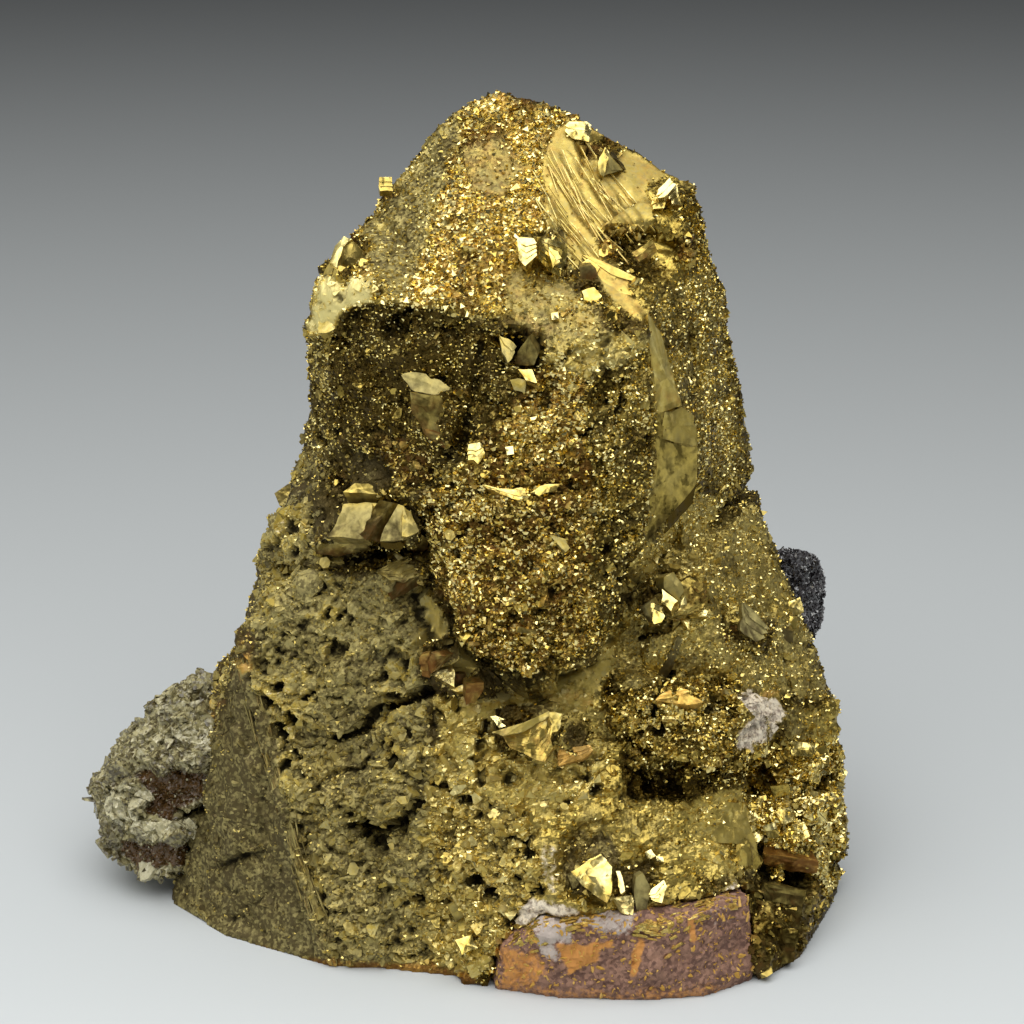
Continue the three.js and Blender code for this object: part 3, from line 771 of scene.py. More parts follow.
def fine_druse_group():
    """Tilts the normal cell by cell, in two sizes, and gives each cell's random number."""
    inputs = {"Place": None, "Cells per mm": 3.0, "Tilt": 0.5, "Sway": 0.0}
    tree, ins, outs = group("fine druse", inputs, {"Normal": "Vector", "Cell": "Float"})
    place = ins.outputs["Place"]
    tilted, cell = wire(tree, "ShaderNodeNewGeometry").outputs["Normal"], None
    for share, finer in ((1.0, 1.0), (0.5, 2.3)):
        scale = maths(tree, "MULTIPLY", ins.outputs["Cells per mm"], finer / MM)
        facet = wire(tree, "ShaderNodeTexVoronoi", {"Vector": place, "Scale": scale}, feature="F1")
        pick = facet.outputs["Color"]
        tilted = leaning(tree, tilted, pick, maths(tree, "MULTIPLY", ins.outputs["Tilt"], 2.0 * share))
        cell = cell or wire(tree, "ShaderNodeSeparateColor", {0: pick}).outputs[0]
    long = vector_maths(tree, "MULTIPLY", place, (1.0, 1.0, 0.3))
    wave = wire(tree, "ShaderNodeTexNoise", {"Vector": long, "Scale": 1.3 / MM, "Detail": 3.0})
    tilted = leaning(tree, tilted, wave.outputs["Color"], ins.outputs["Sway"])
    unit = wire(tree, "ShaderNodeVectorMath", {0: tilted}, operation="NORMALIZE").outputs[0]
    feed(tree, outs, {"Normal": unit, "Cell": cell})
    return tree


FINE_DRUSE = fine_druse_group()

# %% Group: ore finish
DARK_ORE, BRASS, PALE_ORE = paint(0.07, 0.045, 0.008), paint(0.56, 0.41, 0.09), paint(0.90, 0.76, 0.32)
TARNISH_DARK, TARNISH = paint(0.095, 0.072, 0.026), paint(0.45, 0.38, 0.145)
TARNISH_GOLD, TARNISH_PALE = paint(0.42, 0.31, 0.05), paint(0.86, 0.74, 0.30)
RUST_DARK, RUST_LIGHT = paint(0.20, 0.075, 0.012), paint(0.62, 0.32, 0.06)
CLAY_DARK, CLAY_LIGHT = paint(0.24, 0.18, 0.14), paint(0.86, 0.75, 0.56)
# the colour of hollows: partly grime, partly painted shade in pits and creases
GRIME_AND_SHADE = paint(0.014, 0.010, 0.003)


def ore_finish_group():
    """Colour, metallic share and roughness of chalcopyrite from the values of the map."""
    inputs = {"Place": None, "Gold": 0.5, "Rust": 0.1, "Dull": 0.2, "Hollow": 0.0, "Stone": 0.0, "Cell": 0.5}
    tree, ins, outs = group("ore finish", inputs, {"Colour": "Color", "Metal": "Float", "Roughness": "Float"})
    place = ins.outputs["Place"]
    cloud, blotch, mottle = noise(tree, place, 0.35), noise(tree, place, 0.8), noise(tree, place, 2.0)
    golden = stirred(tree, stirred(tree, ins.outputs["Gold"], ins.outputs["Cell"], 0.4), mottle, 0.7)
    metal = graded(tree, golden, DARK_ORE, ((0.0, 0.85, BRASS), (0.75, 1.35, PALE_ORE)))
    tarnished = span(tree, stirred(tree, ins.outputs["Dull"], cloud, 0.9), 0.1, 1.0)
    tarnish = graded(tree, golden, TARNISH_DARK,
                     ((0.0, 0.6, TARNISH), (0.6, 1.0, TARNISH_GOLD), (1.15, 1.6, TARNISH_PALE)))
    metal = blend_colour(tree, tarnished, metal, tarnish)
    stained = span(tree, stirred(tree, ins.outputs["Rust"], blotch, 1.1), 0.3, 0.95)
    rust = graded(tree, stirred(tree, golden, mottle, 0.8), RUST_DARK, ((0.2, 1.1, RUST_LIGHT),))
    colour = blend_colour(tree, maths(tree, "MULTIPLY", stained, 0.75), metal, rust)
    clay = graded(tree, mottle, CLAY_DARK, ((0.3, 0.62, CLAY_LIGHT),))
    clayed = span(tree, stirred(tree, ins.outputs["Stone"], mottle, 0.8), 0.4, 0.7)
    colour = blend_colour(tree, clayed, colour, clay)
    # hollows are darkened towards the hollow colour and made rougher: partly grime, partly painted shade
    # where the relief is sunk
    grime_and_shade = span(tree, ins.outputs["Hollow"], 0.04, 0.42)
    colour = blend_colour(tree, maths(tree, "MULTIPLY", grime_and_shade, 0.9), colour, GRIME_AND_SHADE)
    metallic, rough = 1.0, 0.24
    for mask, less in ((stained, 0.4), (tarnished, 0.6), (clayed, 1.0)):
        metallic = maths(tree, "SUBTRACT", metallic, maths(tree, "MULTIPLY", mask, less), True)
    for mask, more in ((tarnished, 0.26), (stained, 0.14), (grime_and_shade, 0.2)):
        rough = maths(tree, "ADD", rough, maths(tree, "MULTIPLY", mask, more))
    feed(tree, outs, {"Colour": colour, "Metal": metallic, "Roughness": rough})
    return tree


ORE_FINISH = ore_finish_group()
ORE_VALUES = ("gold", "rust", "dull", "hollow", "stone", "bare")


# %% Chalcopyrite materials
def drusy_material(name, cells_per_mm, sway):
    """A material with the fine druse in its normal; also its tree, its shader, the place and the druse."""
    material = bpy.data.materials.new(name)
    material.use_nodes = True
    tree = material.node_tree
    shader = tree.nodes["Principled BSDF"]
    place = wire(tree, "ShaderNodeTexCoord").outputs["Object"]
    inputs = {"Place": place, "Cells per mm": cells_per_mm, "Sway": sway}
    druse = wire(tree, "ShaderNodeGroup", inputs, node_tree=FINE_DRUSE)
    feed(tree, shader, {"Normal": druse.outputs["Normal"]})
    return material, tree, shader, place, druse


def ore_material(name, cells_per_mm, tilt, rougher, bare_tilt=0.15, dotted=True, sway=0.0):
    """Chalcopyrite whose surface is covered in unresolved facets of a given size and tilt."""
    material, tree, shader, place, druse = drusy_material(name, cells_per_mm, sway)
    calmed = maths(tree, "MULTIPLY", span(tree, attribute(tree, "bare"), 0.3, 1.0, tilt, bare_tilt * tilt),
                   span(tree, attribute(tree, "dull"), 0.1, 0.8, 1.0, 0.5))
    feed(tree, druse, {"Tilt": calmed})
    values = {value: attribute(tree, value.lower()) for value in ("Gold", "Rust", "Dull", "Hollow", "Stone")}
    if dotted:
        values["Cell"] = druse.outputs["Cell"]
    finish = wire(tree, "ShaderNodeGroup", dict(values, Place=place), node_tree=ORE_FINISH)
    roughness = maths(tree, "ADD", finish.outputs["Roughness"], rougher, True)
    feed(tree, shader, {"Base Color": finish.outputs["Colour"], "Metallic": finish.outputs["Metal"],
                        "Roughness": roughness, "Specular IOR Level": 0.25})
    return material


ORE = ore_material("drusy chalcopyrite", 3.6, 0.42, rougher=0.12)
ORE_GRAIN = ore_material("chalcopyrite grains", 1.5, 0.04, rougher=-0.05)
ORE_CRYSTAL = ore_material("chalcopyrite facets", 0.9, 0.16, rougher=0.03, bare_tilt=1.0, dotted=False,
                           sway=0.9)
print("finishes:", [m.name for m in bpy.data.materials])

# %% [markdown]
# ## Pieces from one skin
# The carved skin is too fine for one piece, so level planes cut it into four. Each cut is filled, so that
# every piece is closed. The cuts run where the relief is rough and can't show.

# %% Finished pieces
CUTS = (-1.0, 11.5, 29.0, 49.0, 90.0)  # heights between the pieces, in millimetres
SMOOTH_ABOVE = 0.72  # how bare a square of the skin is at least, to be shaded smooth
SQUARE_FILL = 0.42  # radius of a face on its own square of the bake map, in squares


def give(mesh, values):
    """Writes the map's values on a mesh's vertices."""
    for name in ORE_VALUES:
        layer = mesh.attributes.new(name, "FLOAT", "POINT")
        layer.data.foreach_set("value", values[name].astype(np.float32))


def bake_map(mesh):
    """Gives every face a square of its own on a map, with its corners on a circle in it."""
    first, count = (read(mesh.polygons, n, 1)[:, 0] for n in ("loop_start", "loop_total"))
    face = np.repeat(np.arange(len(first)), count)
    corner = np.arange(len(face)) - first[face]
    turn = 2 * np.pi * corner / count[face] + np.pi / 4
    side = math.ceil(math.sqrt(len(first)))
    middle = np.stack([face % side, face // side], 1) + 0.5
    places = (middle + SQUARE_FILL * np.stack([np.cos(turn), np.sin(turn)], 1)) / side
    mesh.uv_layers.new(name="OFBake").uv.foreach_set("vector", places.astype(np.float32).ravel())


def finished(mesh, node, material):
    """Links a mesh, still in millimetres, as a finished piece that stands for a node of the solids."""
    mesh.transform(Matrix.Scale(MM, 4))
    mesh.materials.clear()
    mesh.materials.append(material)
    bake_map(mesh)
    piece = placed(mesh.name, mesh)
    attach(piece, ROOT_BODY)
    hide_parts(node)
    return piece


def halved(shape, place, away, close_by):
    """Cuts off the part of a shape beyond a plane, and tells the edges of the hole."""
    parts = shape.verts[:] + shape.edges[:] + shape.faces[:]
    found = bmesh.ops.bisect_plane(shape, geom=parts, plane_co=place, plane_no=away, clear_outer=True,
                                   dist=close_by)
    return [e for e in found["geom_cut"] if isinstance(e, bmesh.types.BMEdge) and e.is_boundary]


def slice_of(mesh, low, high, name):
    """The part of a closed mesh between two heights, closed again."""
    shape = bmesh.new()
    shape.from_mesh(mesh)
    for height, away in ((low, -1), (high, 1)):
        rim = halved(shape, (0, 0, height), (0, 0, away), 1e-5)
        if rim:
            bmesh.ops.triangle_fill(shape, edges=rim, use_beauty=False, normal=(0, 0, away))
    return as_mesh(shape, name)


# Where druse grows, the skin under it gets less gold and so is darker: painted shade between the grains.
under_druse_shaded = dict(ore_map, gold=ore_map["gold"] - 0.5 * (1 - ramp(ore_map["bare"], 0.2, 0.8)))
give(ore_mesh, under_druse_shaded)
bare_faces = ore_map["bare"][[p.vertices[0] for p in ore_mesh.polygons]] > SMOOTH_ABOVE
ore_mesh.polygons.foreach_set("use_smooth", bare_faces)
for number, part in enumerate(("foot", "middle", "shoulder", "crown")):
    slab = slice_of(ore_mesh, CUTS[number], CUTS[number + 1], f"ore_{part}")
    piece = finished(slab, "chalcopyrite_cluster", ORE)
    print(piece.name, len(slab.polygons), "faces")

# %% [markdown]
# ## Cutting crystals
# A crystal is a convex shape between flat faces, so it is made as a gem cutter would: a block is cut by
# planes, one for each face. The results are kept as patterns, arrays of points and triangles, and many of
# them are joined in one mesh.

# %% Gem cutting
def cut(shape, planes):
    """Cuts a closed convex shape by planes, each given by its distance and the way it faces."""
    for distance, away in planes:
        away = Vector(away).normalized()
        rim = halved(shape, away * distance, away, 1e-6)
        if rim:
            bmesh.ops.edgeloop_fill(shape, edges=rim)
    bmesh.ops.recalc_face_normals(shape, faces=shape.faces)
    return shape


def block(wide, tall, deep):
    shape = bmesh.new()
    bmesh.ops.create_cube(shape, size=1.0)
    bmesh.ops.scale(shape, vec=(wide, tall, deep), verts=shape.verts)
    return shape


def sphenoid(corners=4, corner=0.85):
    """The four-faced crystal of chalcopyrite, about two across, with some of its corners cut."""
    shape = block(4, 4, 4)
    faces = [Vector(f).normalized() for f in SPHENOID]
    return cut(shape, [(0.5, f) for f in faces] + [(corner, -f) for f in faces[:corners]])


def pattern(shape):
    """A crystal of radius 1 as arrays of points and triangles, so that it can be sown by the thousand."""
    bmesh.ops.triangulate(shape, faces=shape.faces[:])
    shape.verts.index_update()
    points = np.array([tuple(v.co) for v in shape.verts])
    triangles = np.array([[v.index for v in f.verts] for f in shape.faces])
    shape.free()
    return points / np.linalg.norm(points, axis=1).mean(), triangles


def joined(name, parts):
    """One mesh from many closed shapes: each part is its points, its triangles and its values."""
    offsets = np.cumsum([0] + [len(p) for p, _, _ in parts[:-1]])
    points = np.concatenate([p for p, _, _ in parts])
    triangles = np.concatenate([t + o for (_, t, _), o in zip(parts, offsets)])
    mesh = bpy.data.meshes.new(name)
    mesh.vertices.add(len(points))
    mesh.loops.add(triangles.size)
    mesh.polygons.add(len(triangles))
    mesh.vertices.foreach_set("co", points.astype(np.float32).ravel())
    mesh.loops.foreach_set("vertex_index", triangles.astype(np.int32).ravel())
    mesh.polygons.foreach_set("loop_start", np.arange(0, triangles.size, 3, dtype=np.int32))
    mesh.update(calc_edges=True)
    give(mesh, {value: np.concatenate([np.broadcast_to(wears[value], len(p)) for p, _, wears in parts])
                for value in ORE_VALUES})
    mesh.polygons.foreach_set("use_smooth", np.zeros(len(triangles), bool))
    return mesh


def worn(gold, rust, dull, bare=0.0):
    """The map's values for crystals that are set one by one, with no grime or painted shade and no clay on
    them.
    """
    return dict(gold=gold, rust=rust, dull=dull, hollow=0.0, stone=0.0, bare=bare)


FLOOR_HAIR = 0.02  # millimetres that small crystals keep off the floor


def off_floor(points):
    """Moves points up that would go through the floor."""
    points[..., 2] = np.maximum(points[..., 2], FLOOR_HAIR)
    return points


print("sphenoid:", len(pattern(sphenoid())[1]), "triangles")

# %% [markdown]
# ## The larger crystals
# Each face of a larger crystal is a flat outline in the picture. It is laid on a plane over the ore that
# looks a given way, and gets a body behind it. A face that looks up and forward mirrors the lamp and shines,
# and one that looks forward or down mirrors the dark room. Faces that grew in steps get thin sheets on them,
# each reaching less far from the outline's first edge.

# %% Faces of the larger crystals
LIT = (-0.12, -0.74, 0.66)  # the way a face looks when it mirrors the lamp to the eye
NEARLY = (0.12, -0.8, 0.58)
FORWARD = (-0.05, -0.92, 0.38)
SHADED = (0.12, -1.0, -0.1)
# Faces that look toward the lamp are mostly given a high gold, which is pale, and shaded faces a low one,
# which is dark: painted highlight and painted shade on top of the lamp's light.
# outline in pixels, way the face looks, depth and lift in mm, number of steps, gold, dull, rust
FACES = {
    "cap on the outline": ([(379, 178), (392, 178), (393, 191), (380, 191)],
        NEARLY, 1.5, 0.5, 3, 0.8, 0.2, 0.2),
    "dark point": ([(339, 246), (346, 238), (353, 241), (362, 250), (367, 263), (354, 272), (337, 266)],
        (-0.1, -0.95, 0.3), 3.0, 0.7, 2, 0.4, 0.25, 0.1),
    "its pale rim": ([(329, 264), (335, 246), (344, 236), (352, 239), (343, 247), (337, 268)],
        (-0.35, -0.7, 0.6), 2.0, 1.0, 1, 1.3, 0.3, 0.0),
    "left of it": ([(318, 286), (330, 263), (338, 270), (336, 290), (324, 306), (315, 300)],
        (-0.4, -0.8, 0.4), 2.5, 0.5, 2, 0.55, 0.35, 0.1),
    "below it": ([(330, 268), (341, 266), (350, 274), (343, 280), (331, 281)],
        NEARLY, 1.6, 0.5, 2, 0.8, 0.3, 0.2),
    "twin, bright": ([(517, 239), (535, 240), (537, 255), (525, 266), (519, 259)],
        LIT, 2.4, 1.2, 4, 1.1, 0.0, 0.0),
    "twin, foot": ([(521, 262), (530, 258), (541, 262), (533, 271), (523, 268)],
        SHADED, 1.5, 0.6, 1, 0.1, 0.6, 0.2),
    "twin, dark": ([(537, 237), (552, 240), (566, 250), (566, 262), (560, 277), (549, 271), (538, 258)],
        (0.35, -0.88, 0.3), 2.6, 1.2, 5, 0.85, 0.0, 0.0),
    "twin, grey": ([(560, 238), (568, 246), (567, 256), (560, 250)], SHADED, 1.5, 0.9, 1, 0.2, 0.7, 0.0),
    "edge group, top": ([(658, 190), (670, 178), (676, 184), (668, 194), (658, 198)],
        LIT, 2.0, 0.9, 2, 1.2, 0.0, 0.0),
    "edge group, left": ([(652, 199), (662, 194), (668, 199), (664, 208), (653, 209)],
        NEARLY, 1.6, 0.8, 2, 1.0, 0.0, 0.0),
    "edge group, right": ([(668, 192), (677, 184), (680, 197), (683, 206), (672, 204)],
        (0.35, -0.7, 0.5), 1.6, 0.9, 2, 1.0, 0.0, 0.1),
    "edge group, low": ([(663, 203), (673, 200), (675, 208), (664, 211)],
        SHADED, 1.4, 0.7, 1, 0.3, 0.3, 0.0),
    "green triangle": ([(606, 148), (614, 160), (622, 170), (612, 173), (603, 176), (599, 162)],
        (-0.2, -1, 0.25), 2.0, 0.9, 2, 0.5, 0.45, 0.0),
    "its bright edge": ([(598, 163), (605, 147), (609, 152), (604, 177), (600, 174)],
        NEARLY, 1.4, 1.1, 1, 0.9, 0.2, 0.0),
    "twin, glint": ([(548, 247), (558, 252), (560, 262), (553, 268)], NEARLY, 1.6, 1.9, 2, 0.9, 0.1, 0.0),
    "its dark tail": ([(612, 157), (618, 160), (626, 170), (616, 172), (610, 170)],
        (0.1, -1, -0.3), 1.4, 0.5, 1, 0.02, 0.3, 0.0),
    "crown facet": ([(569, 122), (587, 122), (592, 130), (589, 142), (574, 139), (565, 131)],
        NEARLY, 2.0, 0.7, 2, 1.1, 0.0, 0.1),
    "smooth golden patch": ([(581, 255), (601, 261), (641, 290), (638, 298), (607, 288)],
        (0.1, -0.75, 0.66), 1.2, 0.3, 2, 0.8, 0.2, 0.45),
    "plate at the hollow": ([(632, 253), (653, 240), (656, 247), (639, 262)],
        (-0.2, -0.9, 0.4), 2.0, 0.7, 2, 0.5, 0.2, 0.5),
    "broken bit, dark": ([(580, 267), (592, 265), (598, 275), (590, 287), (582, 280)],
        SHADED, 1.6, 0.6, 1, 0.1, 0.4, 0.6),
    "broken bit, top": ([(580, 264), (588, 259), (600, 267), (596, 274), (584, 270)],
        LIT, 1.2, 0.7, 1, 0.8, 0.1, 0.5),
    "broken bit, low": ([(582, 291), (594, 287), (602, 296), (596, 304), (584, 300)],
        NEARLY, 1.0, 0.5, 1, 0.9, 0.1, 0.5),
    "broken bit, bright": ([(551, 313), (558, 312), (559, 319), (552, 320)],
        LIT, 0.8, 0.5, 1, 1.2, 0.0, 0.0),
    "brow's lip": ([(319, 320), (336, 311), (343, 318), (333, 330), (318, 333)],
        LIT, 1.4, 0.7, 1, 1.1, 0.4, 0.05),
    "fan, left": ([(343, 504), (372, 503), (366, 538), (327, 537), (336, 524)],
        (-0.3, -0.68, 0.64), 2.4, 1.2, 1, 0.5, 0.5, 0.0),
    "fan, middle": ([(370, 503), (394, 503), (389, 516), (366, 539), (358, 537)],
        (-0.12, -0.74, 0.62), 2.4, 1.3, 1, 0.62, 0.35, 0.0),
    "fan, foot": ([(314, 538), (340, 536), (366, 540), (371, 549), (341, 556), (316, 554)],
        (0.0, -1, -0.35), 2.4, 0.7, 1, 0.25, 0.35, 0.45),
    "fan, right": ([(398, 504), (404, 506), (403, 540), (380, 541), (388, 522)],
        (0.1, -0.82, 0.5), 2.0, 1.2, 1, 0.45, 0.5, 0.0),
    "fan, right tip": ([(403, 505), (411, 512), (419, 531), (407, 537), (402, 536)],
        (0.25, -0.74, 0.56), 2.0, 1.3, 1, 0.65, 0.4, 0.0),
    "fan, crease": ([(393, 503), (399, 504), (381, 543), (366, 540)],
        (0.7, -0.9, 0.0), 2.0, 1.1, 1, 0.12, 0.3, 0.4),
    "fan, shadow": ([(380, 542), (407, 540), (402, 549), (386, 549)], SHADED, 1.6, 0.2, 1, -0.3, 0.0, 0.1),
    "fan, brown foot": ([(408, 537), (420, 533), (429, 540), (427, 549), (416, 555), (408, 548)],
        (0.15, -1, -0.1), 1.6, 0.6, 1, 0.25, 0.3, 0.6),
    "white bit in the gap": ([(388, 550), (396, 551), (405, 558), (398, 560)],
        LIT, 0.8, 1.0, 1, 1.6, 0.0, 0.0),
    "bright facet by the fan": ([(424, 509), (436, 512), (447, 521), (434, 522)],
        LIT, 1.2, 0.6, 1, 1.2, 0.0, 0.1),
    "plate over the fan": ([(343, 492), (355, 483), (373, 486), (376, 494)],
        (-0.1, -0.6, 0.75), 2.0, 0.9, 1, 0.8, 0.35, 0.1),
    "bar over the fan": ([(346, 494), (378, 492), (423, 494), (423, 502), (392, 505), (350, 502)],
        (0.0, -1, -0.15), 1.6, 0.8, 1, 0.1, 0.5, 0.4),
    "third crystal, top": ([(377, 573), (396, 563), (421, 573), (404, 584)],
        (-0.1, -0.66, 0.7), 2.0, 1.0, 5, 0.5, 0.4, 0.3),
    "third crystal, front": ([(375, 575), (403, 585), (391, 600), (385, 599)],
        (-0.15, -0.9, 0.4), 2.0, 1.0, 1, 0.6, 0.3, 0.4),
    "third crystal, side": ([(403, 585), (421, 574), (419, 585), (392, 600)],
        (0.5, -0.9, -0.1), 2.0, 0.95, 1, 0.05, 0.4, 0.5),
    "pale triangle": ([(432, 675), (450, 659), (455, 675), (454, 687)], LIT, 1.8, 1.4, 1, 1.2, 0.0, 0.15),
    "stripes behind it": ([(449, 655), (440, 651), (428, 662), (431, 674)],
        (-0.3, -0.9, 0.25), 1.8, 1.1, 5, 0.15, 0.2, 0.8),
    "rusty bar": ([(421, 654), (430, 652), (430, 678), (422, 676)],
        (-0.1, -1, 0.15), 1.2, 0.4, 3, 0.4, 0.2, 0.9),
    "brown crystal": ([(466, 683), (484, 682), (483, 691), (475, 703), (466, 705)],
        (0.2, -1, 0.1), 2.0, 0.8, 2, 0.3, 0.2, 0.8),
    "its lip": ([(450, 689), (461, 685), (467, 684), (466, 691), (457, 692)],
        LIT, 1.4, 0.9, 1, 1.1, 0.0, 0.1),
    "dark face behind it": ([(456, 674), (466, 674), (467, 685), (456, 684)],
        SHADED, 1.2, 0.4, 1, 0.05, 0.3, 0.6),
    "white bit": ([(490, 717), (496, 716), (506, 726), (499, 728)], LIT, 0.9, 0.9, 2, 1.6, 0.0, 0.0),
    "striated crystal": ([(502, 734), (549, 713), (552, 732), (553, 748), (545, 762), (534, 759), (510, 748)],
        (-0.15, -0.85, 0.5), 2.4, 1.2, 7, 0.75, 0.1, 0.5),
    "its upper rim": ([(492, 732), (524, 727), (549, 711), (549, 716), (525, 731), (503, 736)],
        NEARLY, 1.2, 1.3, 1, 0.9, 0.4, 0.2),
    "its bright facet": ([(547, 712), (562, 714), (558, 731), (550, 733)],
        NEARLY, 1.8, 1.3, 1, 1.0, 0.3, 0.0),
    "leaf": ([(559, 750), (590, 745), (593, 750), (583, 759), (558, 766)],
        (-0.1, -0.78, 0.62), 1.4, 1.0, 3, 1.0, 0.0, 1.1),
    "flank crystal, upper": ([(664, 577), (674, 572), (684, 591), (678, 600), (664, 588)],
        (0.3, -0.9, 0.35), 2.4, 1.5, 1, 0.6, 0.5, 0.0),
    "flank crystal, lower": ([(662, 589), (678, 601), (671, 611), (661, 603)],
        LIT, 2.2, 1.5, 1, 1.1, 0.0, 0.0),
    "second crystal": ([(645, 604), (653, 603), (665, 616), (662, 622), (654, 624)],
        NEARLY, 2.0, 1.0, 2, 1.0, 0.0, 0.1),
    "its dark side": ([(640, 607), (645, 605), (654, 624), (648, 622)],
        (-0.6, -0.8, -0.2), 1.8, 0.8, 1, 0.05, 0.5, 0.3),
    "star, upper ray": ([(678, 611), (681, 602), (685, 596), (687, 604)],
        NEARLY, 1.2, 0.9, 1, 1.2, 0.0, 0.0),
    "star, right ray": ([(680, 608), (708, 611), (706, 616), (690, 617)], LIT, 1.2, 1.0, 2, 1.2, 0.0, 0.0),
    "star, lower ray": ([(679, 611), (690, 619), (688, 629), (681, 621)], LIT, 1.2, 1.1, 1, 1.2, 0.0, 0.0),
    "star, left ray": ([(679, 612), (680, 622), (672, 631), (673, 620)],
        FORWARD, 1.2, 0.8, 1, 0.9, 0.0, 0.1),
    "plate on the flank": ([(742, 602), (754, 611), (765, 638), (756, 642), (740, 630)],
        (0.1, -0.9, 0.4), 2.0, 1.0, 3, 0.3, 0.8, 0.0),
    "blade by the fissure": ([(678, 636), (683, 640), (674, 665), (664, 688), (659, 680), (668, 655)],
        (0.4, -0.9, 0.05), 1.4, 0.4, 1, 0.2, 0.6, 0.1),
    "broad facet": ([(571, 872), (585, 863), (601, 854), (612, 867), (612, 889), (607, 903), (593, 894)],
        (-0.1, -0.77, 0.63), 2.4, 1.3, 2, 0.95, 0.05, 0.35),
    "sliver": ([(616, 871), (620, 871), (625, 891), (621, 894)], LIT, 1.4, 1.0, 1, 1.2, 0.0, 0.0),
    "bits under it": ([(613, 899), (624, 896), (634, 900), (633, 915), (620, 912)],
        NEARLY, 1.6, 0.6, 3, 1.2, 0.0, 0.4),
    "grey leaf": ([(636, 877), (643, 873), (651, 891), (647, 909), (637, 913), (634, 891)],
        (0.1, -0.95, 0.25), 2.0, 0.8, 1, 0.4, 0.7, 0.2),
    "bright bit": ([(652, 889), (664, 880), (667, 887), (662, 903), (651, 899)],
        LIT, 1.6, 1.0, 3, 1.2, 0.0, 0.0),
    "white bits": ([(645, 852), (651, 849), (656, 856), (650, 859)], LIT, 0.8, 0.7, 1, 1.6, 0.0, 0.0),
    "more of them": ([(656, 856), (663, 857), (664, 862), (657, 861)], LIT, 0.8, 0.7, 1, 1.6, 0.0, 0.0),
    "ledge of the dark face": ([(401, 375), (412, 372), (426, 374), (431, 379), (440, 380), (458, 394),
        (450, 399), (442, 394), (428, 394), (411, 389)],
        (-0.1, -0.82, 0.5), 1.8, 0.9, 1, 0.42, 0.55, 0.1),
    "lump below it": ([(410, 392), (458, 398), (464, 412), (461, 434), (447, 446), (428, 438), (411, 410)],
        (0.1, -1, 0.2), 2.8, 1.3, 2, 0.42, 0.25, 0.4),
    "lump's foot": ([(425, 430), (447, 434), (462, 428), (460, 443), (446, 449), (430, 442)],
        (0.05, -1, -0.25), 2.2, 0.5, 1, 0.25, 0.2, 0.8),
    "pale plate": ([(499, 336), (508, 339), (515, 352), (508, 363), (502, 352)],
        (0.1, -0.85, 0.5), 1.4, 0.8, 2, 0.55, 0.55, 0.0),
    "brown facet": ([(529, 336), (538, 355), (534, 365), (513, 365), (520, 348)],
        (-0.3, -1, -0.1), 1.5, 0.2, 1, 0.25, 0.3, 0.3),
    "yellow facet": ([(518, 369), (532, 369), (537, 383), (526, 380)], LIT, 1.2, 0.6, 1, 1.0, 0.0, 0.4),
    "grey facet": ([(510, 380), (526, 380), (525, 393), (514, 390)], FORWARD, 1.2, 0.5, 1, 0.7, 0.6, 0.0),
    "chin ledge, left": ([(482, 485), (500, 489), (527, 488), (530, 497), (518, 500), (500, 494)],
        LIT, 1.5, 0.9, 2, 0.9, 0.15, 0.3),
    "chin ledge, leaf": ([(530, 493), (548, 484), (560, 484), (554, 491), (539, 496)],
        NEARLY, 1.2, 0.9, 1, 0.9, 0.2, 0.2),
    "chin rim": ([(545, 533), (566, 539), (570, 548), (566, 552), (556, 542)],
        (0.2, -0.75, 0.6), 1.0, 0.6, 1, 0.7, 0.6, 0.0),
    "chin lump": ([(494, 594), (515, 590), (525, 602), (506, 606)], LIT, 1.6, 0.9, 3, 1.1, 0.0, 0.2),
    "chin streak": ([(521, 617), (534, 625), (533, 629), (524, 624)], LIT, 1.0, 0.6, 1, 1.1, 0.0, 0.0),
    "bit over the chin": ([(505, 447), (513, 446), (514, 454), (507, 455)], LIT, 1.0, 0.6, 1, 1.3, 0.0, 0.0),
    "round lump": ([(468, 445), (480, 443), (485, 453), (478, 464), (468, 460)],
        NEARLY, 1.8, 0.9, 3, 1.0, 0.1, 0.1),
    "leaf over the overhang": ([(655, 701), (662, 694), (681, 690), (703, 702), (687, 705)],
        (-0.05, -0.64, 0.75), 1.6, 1.4, 2, 0.9, 0.1, 0.6),
    "gold block, top": ([(789, 741), (819, 744), (812, 757), (792, 756)],
        NEARLY, 2.6, 0.8, 2, 0.9, 0.0, 0.2),
    "gold block, triangle": ([(793, 777), (806, 771), (798, 780)], LIT, 1.2, 0.9, 1, 1.3, 0.0, 0.0),
    "gold block, corner": ([(814, 750), (826, 745), (830, 765), (818, 770)],
        (0.35, -0.85, 0.35), 2.0, 0.7, 2, 0.7, 0.1, 0.2),
    "gold block, first": ([(752, 800), (766, 795), (770, 806), (758, 812)], LIT, 1.6, 0.9, 2, 1.0, 0.0, 0.2),
    "gold block, second": ([(775, 812), (790, 806), (796, 820), (782, 824)],
        NEARLY, 1.6, 0.9, 2, 1.0, 0.0, 0.2),
    "gold block, third": ([(762, 826), (774, 822), (780, 836), (768, 838)],
        FORWARD, 1.6, 0.9, 2, 1.0, 0.0, 0.2),
    "gold block, fourth": ([(790, 826), (804, 822), (810, 836), (798, 842)],
        LIT, 1.6, 0.9, 2, 1.1, 0.0, 0.1),
    "gold block, fifth": ([(770, 786), (788, 784), (790, 796), (774, 797)],
        (0.3, -0.9, 0.2), 1.6, 0.8, 2, 0.6, 0.1, 0.2),
    "gold block, underside": ([(763, 853), (790, 856), (818, 862), (817, 873), (790, 872), (764, 864)],
        (0.05, -1, -0.3), 1.6, 0.5, 2, 0.35, 0.1, 1.0),
    "foot block, front": ([(704, 801), (744, 802), (752, 831), (738, 844), (712, 842), (703, 826)],
